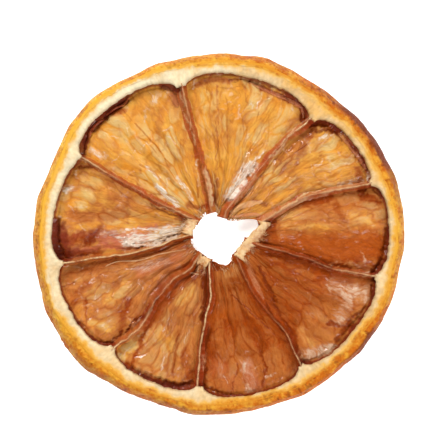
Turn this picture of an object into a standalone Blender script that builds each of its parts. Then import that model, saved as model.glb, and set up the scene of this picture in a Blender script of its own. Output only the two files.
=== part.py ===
"""A dried lemon slice, lying flat with its better face up, as one closed solid.

The slice is a ring of rind round nine wedges of dried pulp. Thin walls part the wedges, stand
proud of the pulp on both faces and run from the rind to the torn hole in the middle. The solid is
built from closed rings of points: they start at the hole's upper edge, run out over the upper face
and down the peel, and come back under the slice to the hole's lower edge. Every ring has the same
columns, so the walls and the wedges' corners keep crisp edges on both faces.

Sizes are in millimetres and angles in degrees, counter-clockwise from +X. The slice rests on z = 0
and its bounding box is centred on the origin.
"""

import math

import bmesh
import bpy

MM = 0.001

# The slice as a whole
SLICE_WIDTH = 54.0
MEAN_RADIUS = 26.8
RIND_HEIGHT = 4.3
# How far the rim stands outside the mean circle, at every 20 degrees
OUT_OF_ROUND = (
    0.5, 0.4, -0.4, -0.7, -0.3, -0.75, -0.4, 0.05, -0.45,
    0.3, 0.5, 1.15, 0.05, -0.1, -0.2, -0.1, 0.35, 0.5,
)
# Small lumps on top of that: how many round the slice, how high and where they start
RIM_LUMPS = ((11, 0.1, 0.7), (19, 0.07, 2.6), (31, 0.05, 4.4))

# The torn hole: its radius at every 15 degrees, seen from the middle of the slice
HOLE_RADIUS = (
    5.0, 6.2, 3.8, 2.8, 2.6, 2.6, 2.85, 3.25, 3.45, 3.4, 3.3, 3.4,
    3.7, 4.0, 4.05, 4.0, 3.95, 4.1, 4.4, 4.9, 4.3, 3.8, 3.75, 4.15,
)

# The rind: peel outside, white pith inside
PEEL_BAND = 1.6
PEEL_LEAN = 1.05
PEEL_LEAN_SWING = 0.35
PEEL_LEAN_FACING = 35.0
WALL_BULGE_AT = 0.36
BASE_TUCK = 0.55
RIM_WAVE = 0.18
PITH_EDGE_DROP = 0.3
PITH_SOFT_EDGE = 0.25
CORNER_SPAN = 0.3

# The walls between the wedges
WALL_TOP_HALF = 0.15
WALL_TOP = {"tip": 3.1, "middle": 3.0, "root": 3.9}
WALL_UNDERSIDE = {"tip": 0.5, "middle": 0.55, "root": 0.15}

# The pulp between them
PULP_TOP = 2.25
PULP_THICKNESS = 1.1
PULP_SIDE_SINK = 0.3
PULP_SIDE_SPAN = 0.18
GAP_REACH = 0.7
GAP_SINK = (0.2, 0.45)
FOLD_HEIGHT = 0.36
CORE_TOP = 3.25
CORE_UNDERSIDE = 0.5

# Radii at which a wall's bearing is stated, between its tip at the hole and its root at the pith
BEARING_RADII = (6.6, 8.8, 13.2, 17.6)

# Each wall: bearings at the tip, at BEARING_RADII and at the root, the radius of the root, and how far
# its film spreads over the pulp before and after it (clockwise and counter-clockwise) at tip, middle, root
WALLS = (
    {
        "bearings": (14.0, 15.0, 18.5, 22.0, 20.2, 18.0),
        "root": 23.2, "skirts": ((0.6, 0.5, 0.5), (0.9, 0.5, 0.4)),
    },
    {
        "bearings": (68.0, 60.0, 58.0, 55.7, 53.5, 51.0),
        "root": 21.3, "skirts": ((0.5, 0.6, 0.9), (1.0, 0.7, 0.3)),
    },
    {
        "bearings": (105.0, 103.0, 103.0, 103.2, 103.8, 103.5),
        "root": 21.8, "skirts": ((0.8, 0.5, 0.3), (0.8, 1.0, 0.9)),
    },
    {
        "bearings": (150.0, 152.5, 153.0, 152.0, 151.5, 151.0),
        "root": 22.7, "skirts": ((0.4, 0.6, 0.3), (0.3, 0.4, 0.3)),
    },
    {
        "bearings": (184.0, 189.0, 192.5, 193.3, 191.8, 191.0),
        "root": 22.8, "skirts": ((0.3, 0.4, 0.4), (0.3, 0.3, 0.3)),
    },
    {
        "bearings": (232.0, 233.0, 227.0, 227.5, 230.5, 228.0),
        "root": 22.4, "skirts": ((0.6, 1.1, 0.7), (0.5, 0.9, 0.3)),
    },
    {
        "bearings": (254.0, 260.0, 263.5, 261.7, 261.5, 262.4),
        "root": 22.4, "skirts": ((0.4, 0.3, 0.3), (0.3, 0.7, 0.9)),
    },
    {
        "bearings": (309.0, 303.0, 300.5, 302.0, 304.3, 302.0),
        "root": 22.6, "skirts": ((0.3, 0.5, 0.4), (0.6, 0.7, 0.5)),
    },
    {
        "bearings": (344.5, 344.0, 344.0, 344.0, 342.8, 344.5),
        "root": 23.7, "skirts": ((0.3, 0.5, 0.4), (0.3, 0.3, 0.3)),
    },
)

# Each wedge, from the wall of the same number to the next: where the pith begins on its two sides,
# how far the pulp has drawn back from it at even steps across, how wide a strip of core closes the
# wedge off from the hole (0 where it is torn open), how far its pulp lies above the mean, and the
# number and shift of its radial folds
WEDGES = (
    {
        "pith": (24.1, 23.0), "gaps": (0.6, 0.8, 0.6, 0.9, 1.2),
        "core": 0.0, "lift": 0.1, "folds": 2.5, "shift": 0.1,
    },
    {
        "pith": (22.6, 23.4), "gaps": (0.9, 0.8, 0.5, 0.25, 0.3),
        "core": 0.0, "lift": 0.25, "folds": 3.0, "shift": 0.6,
    },
    {
        "pith": (23.5, 24.5), "gaps": (1.2, 0.3, 1.0, 1.3, 1.2),
        "core": 0.0, "lift": 0.1, "folds": 3.5, "shift": 0.3,
    },
    {
        "pith": (23.2, 24.5), "gaps": (0.7, 0.4, 0.3, 1.2, 1.8),
        "core": 1.5, "lift": -0.1, "folds": 2.0, "shift": 0.8,
    },
    {
        "pith": (24.3, 24.1), "gaps": (0.2, 0.3, 0.4, 0.6, 0.8),
        "core": 0.0, "lift": 0.0, "folds": 3.0, "shift": 0.2,
    },
    {
        "pith": (23.7, 23.6), "gaps": (0.4, 0.5, 0.9, 1.0, 0.8),
        "core": 1.8, "lift": 0.05, "folds": 2.5, "shift": 0.5,
    },
    {
        "pith": (23.9, 24.1), "gaps": (0.7, 0.5, 0.25, 0.2, 0.2),
        "core": 0.0, "lift": 0.1, "folds": 3.0, "shift": 0.9,
    },
    {
        "pith": (23.9, 24.7), "gaps": (0.9, 0.3, 0.8, 0.4, 0.6),
        "core": 1.7, "lift": 0.15, "folds": 2.5, "shift": 0.4,
    },
    {
        "pith": (24.9, 24.8), "gaps": (1.1, 0.6, 0.2, 0.25, 0.5),
        "core": 1.6, "lift": 0.0, "folds": 2.0, "shift": 0.0,
    },
)

# How finely the solid is divided
WEDGE_COLUMNS = 15
UPPER_PULP_ROWS = 12
LOWER_PULP_ROWS = 6

MATERIALS = (
    {"name": "peel", "colour": (0.80, 0.33, 0.04), "roughness": 0.5},
    {"name": "pith", "colour": (0.86, 0.66, 0.36), "roughness": 0.8},
    {"name": "pulp", "colour": (0.56, 0.20, 0.04), "roughness": 0.35},
)


def blend(first, last, share):
    """The value a share of the way from first to last."""
    return first + (last - first) * share


def smooth(share):
    """A share from 0 to 1, eased at both ends."""
    share = min(max(share, 0.0), 1.0)
    return share * share * (3.0 - 2.0 * share)


def cubic(before, start, end, after, share):
    """A smooth curve from start to end that leaves and arrives as its neighbours suggest."""
    slope_in, slope_out = (end - before) / 2.0, (after - start) / 2.0
    square, cube = share * share, share**3
    return (
        (2 * cube - 3 * square + 1) * start
        + (cube - 2 * square + share) * slope_in
        + (3 * square - 2 * cube) * end
        + (cube - square) * slope_out
    )


def around(stations, degrees):
    """A smooth value at a bearing, from values at even steps round the full turn."""
    count = len(stations)
    place = (degrees % 360.0) * count / 360.0
    first = int(place)
    near = [stations[(first + step) % count] for step in (-1, 0, 1, 2)]
    return cubic(*near, place - first)


def between(stations, share):
    """A smooth value at a share of the way along evenly spaced stations."""
    place = min(max(share, 0.0), 1.0) * (len(stations) - 1)
    first = min(int(place), len(stations) - 2)
    near = [stations[min(max(first + step, 0), len(stations) - 1)] for step in (-1, 0, 1, 2)]
    return cubic(*near, place - first)


def rim_radius(degrees):
    turn = math.radians(degrees)
    lumps = sum(height * math.sin(count * turn + start) for count, height, start in RIM_LUMPS)
    return MEAN_RADIUS + around(OUT_OF_ROUND, degrees) + lumps


def peel_lean(degrees):
    """How far the peel's upper edge lies inside its widest line."""
    return PEEL_LEAN + PEEL_LEAN_SWING * math.cos(math.radians(2.0 * (degrees - PEEL_LEAN_FACING)))


def rim_wave(degrees):
    """The gentle rise and fall of the rind's upper edge round the slice."""
    turn = math.radians(degrees)
    return RIM_WAVE * (0.6 * math.sin(3 * turn + 0.5) + 0.4 * math.sin(7 * turn + 1.9))


def wall_bearing(number, radius):
    """Where wall number stands at a radius, in degrees that grow from wall to wall."""
    turns, index = divmod(number, len(WALLS))
    wall = WALLS[index]
    bearings = wall["bearings"]
    radii = (around(HOLE_RADIUS, bearings[0]), *BEARING_RADII, wall["root"])
    for place in range(len(radii) - 1):
        if radius <= radii[place + 1] or place == len(radii) - 2:
            break
    share = min(max((radius - radii[place]) / (radii[place + 1] - radii[place]), 0.0), 1.0)
    before = bearings[max(place - 1, 0)]
    after = bearings[min(place + 2, len(bearings) - 1)]
    return 360.0 * turns + cubic(before, bearings[place], bearings[place + 1], after, share)


def skirt(number, side, radius):
    """How wide wall number's film is at a radius: side 0 lies before the wall and side 1 after it."""
    wall = WALLS[number % len(WALLS)]
    tip = around(HOLE_RADIUS, wall["bearings"][0])
    return between(wall["skirts"][side], (radius - tip) / (wall["root"] - tip))


class Column:
    """One line of points from the hole to the rim: on a wall's crest or across a wedge."""

    def __init__(self, wedge, across=None, crest_side=0):
        self.wedge = wedge
        self.across = across
        self.crest_side = crest_side

    def is_crest(self):
        return self.across is None

    def bearing(self, radius):
        first = wall_bearing(self.wedge, radius)
        if self.is_crest():
            return first + self.crest_side * math.degrees(WALL_TOP_HALF / radius)
        first += math.degrees(skirt(self.wedge, 1, radius) / radius)
        last = wall_bearing(self.wedge + 1, radius) - math.degrees(skirt(self.wedge + 1, 0, radius) / radius)
        return blend(first, last, self.across)

    def hole_radius(self):
        """Where this line meets the torn edge, found by stepping towards it."""
        radius = max(HOLE_RADIUS)
        for _ in range(12):
            radius = around(HOLE_RADIUS, self.bearing(radius))
        return radius

    def core_width(self):
        """The strip of core at the hole, shared between the wedges beside a wall."""
        here, before = WEDGES[self.wedge]["core"], WEDGES[self.wedge - 1]["core"]
        if self.is_crest():
            return max(here, before)
        return here

    def pith_radius(self):
        """Where the pulp ends at the pith, with the wedge's two outer corners rounded off."""
        wedge = WEDGES[self.wedge]
        root = WALLS[self.wedge]["root"]
        if self.is_crest():
            return root
        next_root = WALLS[(self.wedge + 1) % len(WALLS)]["root"]
        radius = blend(*wedge["pith"], self.across)
        for side, corner in ((self.across, root), (1.0 - self.across, next_root)):
            if side < CORNER_SPAN:
                toward = 1.0 - side / CORNER_SPAN
                radius -= (radius - corner) * (1.0 - math.sqrt(1.0 - toward * toward))
        return radius


def all_columns():
    """Every column once round the slice: a wall's crest, then the wedge behind it."""
    columns = []
    for wedge in range(len(WEDGES)):
        columns.append(Column(wedge, crest_side=-1))
        columns.append(Column(wedge, crest_side=1))
        for step in range(WEDGE_COLUMNS):
            even = step / (WEDGE_COLUMNS - 1)
            eased = 0.5 - 0.5 * math.cos(math.pi * even)
            columns.append(Column(wedge, across=blend(even, eased, 0.6)))
    return columns


def fold(column, along):
    """The pulp's folds at a place, from -1 to 1. They run along the wedge and fade at its sides."""
    wedge = WEDGES[column.wedge]
    drift = 0.25 * math.sin(3.0 * along + 2.0 * wedge["shift"])
    wave = math.sin(2.0 * math.pi * (wedge["folds"] * (column.across + drift * 0.3) + wedge["shift"]))
    ripple = 0.35 * math.sin(9.0 * along + 5.0 * column.across + 7.0 * wedge["shift"])
    return (wave + ripple) * math.sin(math.pi * column.across) ** 0.5 * math.sin(math.pi * along) ** 0.4


def sink(column, along):
    """How far the pulp has pulled down: beside the walls, and where it has drawn back from the pith."""
    side = PULP_SIDE_SINK * (1.0 - smooth(min(column.across, 1.0 - column.across) / PULP_SIDE_SPAN))
    gap = between(WEDGES[column.wedge]["gaps"], column.across)
    to_pith = (1.0 - along) * (column.pith_radius() - column.hole_radius())
    pith = blend(*GAP_SINK, gap) * (1.0 - smooth((to_pith - 0.6 * gap) / GAP_REACH))
    return max(side, pith)


def wall_height(heights, along):
    """A wall's height along its length, lowest about half way."""
    if along < 0.5:
        return blend(heights["tip"], heights["middle"], smooth(along / 0.5))
    return blend(heights["middle"], heights["root"], smooth((along - 0.5) / 0.5) ** 1.6)


def pulp_heights(column, along):
    """The upper and lower height of the slice between the core and the pith."""
    if column.is_crest():
        return wall_height(WALL_TOP, along), wall_height(WALL_UNDERSIDE, along)
    upper = PULP_TOP + WEDGES[column.wedge]["lift"]
    upper += FOLD_HEIGHT * fold(column, along) - sink(column, along)
    lower = PULP_TOP - PULP_THICKNESS + WEDGES[column.wedge]["lift"]
    lower += 0.75 * FOLD_HEIGHT * fold(column, along) - 0.7 * sink(column, along)
    return upper, lower


def core_heights(column):
    """The upper and lower height at the hole: the strip of core, or the pulp's torn edge."""
    if column.is_crest():
        return WALL_TOP["tip"], WALL_UNDERSIDE["tip"]
    if column.core_width() > 0.0:
        return CORE_TOP, CORE_UNDERSIDE
    return pulp_heights(column, 0.0)


def point(column, radius, height):
    turn = math.radians(column.bearing(radius))
    return (radius * math.cos(turn), radius * math.sin(turn), height)


def rim_point(column, inset, height):
    """A point on the rind, which keeps the bearing that the column has at the pith."""
    degrees = column.bearing(column.pith_radius())
    turn, radius = math.radians(degrees), rim_radius(degrees) - inset
    return (radius * math.cos(turn), radius * math.sin(turn), height)


def pulp_ring(columns, along, upper):
    """The ring of points a share of the way from the core to the pith."""
    ring = []
    for column in columns:
        inner = column.hole_radius() + column.core_width() + PITH_SOFT_EDGE
        radius = blend(inner, column.pith_radius(), along)
        heights = pulp_heights(column, along)
        ring.append(point(column, radius, heights[0] if upper else heights[1]))
    return ring


def core_rings(columns, upper):
    """The hole's edge and the far side of the strip of core, from the hole outwards."""
    side = 0 if upper else 1
    at_hole, at_pulp = [], []
    for column in columns:
        height, hole = core_heights(column)[side], column.hole_radius()
        at_hole.append(point(column, hole, height))
        at_pulp.append(point(column, hole + column.core_width() + 0.4 * PITH_SOFT_EDGE, height))
    return [at_hole, at_pulp]


def rind_rings(columns):
    """From the pith's upper inner edge, over the peel and down to the flat underside."""
    pith_edge, pith_middle, peel_line, upper_edge = [], [], [], []
    wall_rings = [[] for _ in range(3)]
    base_outer, base_inner = [], []
    for column in columns:
        pith = column.pith_radius()
        degrees = column.bearing(pith)
        lean, wave = peel_lean(degrees), rim_wave(degrees)
        top = RIND_HEIGHT - RIM_WAVE + wave
        width = rim_radius(degrees) - pith
        pith_edge.append(point(column, pith + PITH_SOFT_EDGE, top - PITH_EDGE_DROP))
        pith_middle.append(rim_point(column, blend(width, PEEL_BAND, 0.55), top - 0.05))
        peel_line.append(rim_point(column, max(PEEL_BAND, lean + 0.3), top))
        upper_edge.append(rim_point(column, lean, top - 0.12))
        for ring, share in zip(wall_rings, (0.85, WALL_BULGE_AT, 0.15), strict=True):
            above = max(share - WALL_BULGE_AT, 0.0) / (1.0 - WALL_BULGE_AT)
            below = max(WALL_BULGE_AT - share, 0.0) / WALL_BULGE_AT
            ring.append(rim_point(column, lean * above**1.7 + BASE_TUCK * below**2, top * share))
        base_outer.append(rim_point(column, BASE_TUCK, 0.0))
        base_inner.append(point(column, pith + PITH_SOFT_EDGE, 0.0))
    return [pith_edge, pith_middle, peel_line, upper_edge, *wall_rings, base_outer, base_inner]


def slice_rings():
    """All rings of the solid in order, and the name of the material behind each."""
    columns = all_columns()
    core_upper, core_lower = core_rings(columns, True), core_rings(columns, False)
    upper = [pulp_ring(columns, row / (UPPER_PULP_ROWS - 1), True) for row in range(UPPER_PULP_ROWS)]
    lower = [pulp_ring(columns, row / (LOWER_PULP_ROWS - 1), False) for row in range(LOWER_PULP_ROWS)]
    rind = rind_rings(columns)
    rings = core_upper + upper + rind + lower[::-1] + core_lower[::-1]
    names = ["pith", "pulp"] + ["pulp"] * len(upper) + ["pith"] * 3 + ["peel"] * 4 + ["pith"] * 2
    names += ["pulp"] * len(lower) + ["pith", "pith"]
    return rings, names


def centred(rings):
    """The rings moved so that the slice's bounding box is centred, and scaled to its width."""
    xs = [x for ring in rings for x, _, _ in ring]
    ys = [y for ring in rings for _, y, _ in ring]
    middle_x, middle_y = (max(xs) + min(xs)) / 2.0, (max(ys) + min(ys)) / 2.0
    scale = SLICE_WIDTH / (max(xs) - min(xs))
    return [[((x - middle_x) * scale, (y - middle_y) * scale, z) for x, y, z in ring] for ring in rings]


def new_material(name, colour, roughness):
    material = bpy.data.materials.new(name)
    material.use_nodes = True
    shader = material.node_tree.nodes["Principled BSDF"]
    shader.inputs["Base Color"].default_value = (*colour, 1.0)
    shader.inputs["Roughness"].default_value = roughness
    shader.inputs["Metallic"].default_value = 0.0
    return material


def build_slice():
    """The whole slice as one object, its rings joined into a closed skin."""
    rings, names = slice_rings()
    rings = centred(rings)
    order = [entry["name"] for entry in MATERIALS]
    shape = bmesh.new()
    rows = [[shape.verts.new((x * MM, y * MM, z * MM)) for x, y, z in ring] for ring in rings]
    columns = len(rows[0])
    for number, row in enumerate(rows):
        following = rows[(number + 1) % len(rows)]
        for place in range(columns):
            beside = (place + 1) % columns
            face = shape.faces.new((row[place], following[place], following[beside], row[beside]))
            face.material_index = order.index(names[number])
    bmesh.ops.triangulate(shape, faces=shape.faces[:], quad_method="SHORT_EDGE")
    bmesh.ops.recalc_face_normals(shape, faces=shape.faces[:])
    mesh = bpy.data.meshes.new("dried_lemon_slice")
    shape.to_mesh(mesh)
    shape.free()
    for entry in MATERIALS:
        mesh.materials.append(new_material(**entry))
    mesh.shade_smooth()
    mesh.set_sharp_from_angle(angle=math.radians(40.0))
    lemon = bpy.data.objects.new("dried_lemon_slice", mesh)
    bpy.context.scene.collection.objects.link(lemon)
    return lemon


def main():
    for old in list(bpy.data.objects):
        bpy.data.objects.remove(old)
    build_slice()


main()
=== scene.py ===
"""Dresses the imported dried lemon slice: peel, pith, nine wedges of dried pulp, the walls between them,
the torn core and loose films, each a mesh of its own with a procedural material.

Sizes are in millimetres and angles in degrees, counter-clockwise from +X, until a mesh is made.
"""

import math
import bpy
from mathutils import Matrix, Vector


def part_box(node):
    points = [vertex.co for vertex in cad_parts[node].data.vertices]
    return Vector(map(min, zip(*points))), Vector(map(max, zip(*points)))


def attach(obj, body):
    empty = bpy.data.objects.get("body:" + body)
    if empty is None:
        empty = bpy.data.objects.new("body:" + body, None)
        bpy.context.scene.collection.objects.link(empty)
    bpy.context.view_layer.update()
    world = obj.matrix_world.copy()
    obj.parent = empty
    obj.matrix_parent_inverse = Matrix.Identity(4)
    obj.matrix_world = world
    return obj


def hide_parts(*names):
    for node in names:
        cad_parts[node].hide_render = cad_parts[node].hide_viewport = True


bl_info = {
    "name": "Dried Lemon Slice",
    "version": (1, 0, 0),
    "blender": (4, 5, 0),
    "location": "3D View > Sidebar > Lemon Slice",
    "description": "Makes the peel, pith, pulp, walls and torn core of a dried citrus slice",
    "category": "Object",
}

import bmesh
import bpy
import numpy as np
from mathutils import Vector

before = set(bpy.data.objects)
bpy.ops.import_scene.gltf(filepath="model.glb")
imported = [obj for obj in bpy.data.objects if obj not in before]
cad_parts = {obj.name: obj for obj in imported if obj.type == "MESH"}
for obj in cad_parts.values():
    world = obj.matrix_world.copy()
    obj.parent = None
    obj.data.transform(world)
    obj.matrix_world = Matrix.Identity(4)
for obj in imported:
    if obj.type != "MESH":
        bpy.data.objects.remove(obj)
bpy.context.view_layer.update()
NODE = "dried_lemon_slice"
BODY = "root"
MM = 0.001

# The slice's form, close to the solid's
MEAN_RADIUS = 26.8
RIND_HEIGHT = 4.3
OUT_OF_ROUND = (
    0.5, 0.4, -0.4, -0.7, -0.3, -0.75, -0.4, 0.05, -0.45,
    0.3, 0.5, 1.15, 0.05, -0.1, -0.2, -0.1, 0.35, 0.5,
)
RIM_LUMPS = ((11, 0.1, 0.7), (19, 0.07, 2.6), (31, 0.05, 4.4))
HOLE_RADIUS = (
    5.0, 6.2, 3.8, 2.8, 2.6, 2.6, 2.85, 3.25, 3.45, 3.4, 3.3, 3.4,
    3.7, 4.0, 4.05, 4.0, 3.95, 4.1, 4.4, 4.9, 4.3, 3.8, 3.75, 4.15,
)
PEEL_LEAN = 1.05
PEEL_LEAN_SWING = 0.35
PEEL_LEAN_FACING = 35.0
WALL_BULGE_AT = 0.36
BASE_TUCK = 0.55
RIM_WAVE = 0.18
PITH_EDGE_DROP = 0.3
PITH_SOFT_EDGE = 0.25
CORNER_SPAN = 0.3
WALL_TOP = (3.1, 3.0, 3.9)
WALL_UNDERSIDE = (0.5, 0.55, 0.15)
PULP_TOP = 2.25
PULP_THICKNESS = 1.1
PULP_SIDE_SINK = 0.3
PULP_SIDE_SPAN = 0.18
GAP_REACH = 0.5
GAP_SINK = (0.15, 0.5)
PULP_CLIMB = 0.45
FOLD_HEIGHT = 0.27
CORE_TOP = 3.25
CORE_UNDERSIDE = 0.5
BEARING_RADII = (6.6, 8.8, 13.2, 17.6)

# The picture: what the camera frames, in metres, and how bright the stage makes a white surface
PICTURE_HEIGHT = 0.0641
PICTURE_MIDDLE = (-0.00039, 0.00198)
LOOKED_AT_HEIGHT = 0.0015
SENSOR = 36.0
STAGE_BRIGHTNESS = 1.5
SURFACE_GLEAM = 0.06
FLOOR_HALF = 1.0
FLOOR_HEIGHT = -0.00005

# Each wall: bearings at the tip, at BEARING_RADII and at the root, the radius of the root, how far its
# film spreads over the pulp before and after it (at tip, middle and root), how creamy its crest is and
# how brown its film is (at tip, middle and root again)
WALL_PARTS = ("bearings", "root", "skirts", "cream", "film")
WALLS = [
    dict(zip(WALL_PARTS, row, strict=True))
    for row in (
        ((14.0, 15.0, 18.5, 22.0, 20.2, 18.0), 23.2, ((0.6, 0.5, 0.5), (0.9, 0.5, 0.4)), (0.3, 0.3, 0.7),
         (0.7, 0.8, 0.6)),
        ((68.0, 60.0, 58.0, 55.7, 53.5, 51.0), 21.3, ((0.5, 0.6, 0.9), (1.0, 0.7, 0.3)), (0.3, 0.2, 0.8),
         (0.9, 1.0, 0.8)),
        ((105.0, 103.0, 103.0, 103.2, 103.8, 103.5), 21.8, ((0.8, 0.6, 0.5), (0.8, 1.1, 1.1)),
         (0.25, 0.0, 0.5), (0.75, 1.0, 0.9)),
        ((150.0, 152.5, 153.0, 152.0, 151.5, 151.0), 22.7, ((0.4, 0.6, 0.3), (0.3, 0.4, 0.3)),
         (0.5, 0.05, 0.7), (0.8, 1.0, 0.7)),
        ((184.0, 189.0, 192.5, 193.3, 191.8, 191.0), 22.8, ((0.3, 0.4, 0.4), (0.3, 0.3, 0.3)),
         (0.9, 0.9, 0.9), (0.25, 0.3, 0.3)),
        ((232.0, 233.0, 227.0, 227.5, 230.5, 228.0), 22.4, ((0.6, 1.1, 0.7), (0.5, 0.9, 0.3)),
         (0.5, 0.15, 0.7), (0.35, 0.35, 0.5)),
        ((254.0, 260.0, 263.5, 261.7, 261.5, 262.4), 22.4, ((0.4, 0.3, 0.3), (0.3, 0.7, 0.9)),
         (0.9, 0.85, 0.7), (0.6, 0.5, 0.8)),
        ((309.0, 303.0, 300.5, 302.0, 304.3, 302.0), 22.6, ((0.3, 0.5, 0.4), (0.6, 0.7, 0.5)),
         (0.2, 0.05, 0.5), (0.35, 0.4, 0.45)),
        ((344.5, 344.0, 344.0, 344.0, 342.8, 344.5), 23.7, ((0.3, 0.5, 0.4), (0.3, 0.3, 0.3)),
         (0.35, 0.1, 0.6), (0.5, 0.5, 0.55)),
    )
]

# Each wedge, from the wall of the same number to the next: its name, where the pith begins on its two
# sides, how far the pulp has drawn back from it at even steps across, its strip of core, the lift of
# its pulp, the number and shift of its folds, the juice sacs across it, and how browned it is at the
# tip, in the middle and at the pith
WEDGE_PARTS = ("name", "pith", "gaps", "core", "lift", "folds", "shift", "sacs", "age")
WEDGES = [
    dict(zip(WEDGE_PARTS, row, strict=True))
    for row in (
        ("upper_right", (24.1, 23.0), (0.6, 0.8, 0.6, 0.9, 1.2), 0.0, 0.1, 2.5, 0.1, 7, (0.3, 0.1, 0.12)),
        ("top", (22.6, 23.4), (0.9, 0.8, 0.5, 0.25, 0.3), 0.0, 0.25, 3.0, 0.6, 10, (0.12, 0.06, 0.08)),
        ("upper_left", (23.5, 24.5), (1.2, 0.3, 1.0, 1.3, 1.2), 0.0, 0.1, 3.5, 0.3, 10, (0.05, 0.05, 0.1)),
        ("left", (23.2, 24.5), (0.7, 0.4, 0.3, 1.2, 1.8), 1.5, -0.1, 2.0, 0.8, 8, (0.15, 0.2, 0.2)),
        ("lower_left", (24.3, 24.1), (0.2, 0.3, 0.4, 0.6, 0.8), 0.0, 0.0, 3.0, 0.2, 8, (0.58, 0.5, 0.44)),
        ("bottom_left", (23.7, 23.6), (0.4, 0.5, 0.9, 1.0, 0.8), 1.8, 0.05, 2.5, 0.5, 7,
         (0.58, 0.48, 0.42)),
        ("bottom", (23.9, 24.1), (0.7, 0.5, 0.25, 0.2, 0.2), 0.0, 0.1, 3.0, 0.9, 8, (0.75, 0.85, 0.65)),
        ("lower_right", (23.9, 24.7), (0.9, 0.3, 0.8, 0.4, 0.6), 1.7, 0.15, 2.5, 0.4, 8, (0.9, 0.85, 0.6)),
        ("right", (24.9, 24.8), (1.1, 0.6, 0.2, 0.25, 0.5), 1.6, 0.0, 2.0, 0.0, 7, (0.55, 0.45, 0.42)),
    )
]

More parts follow.
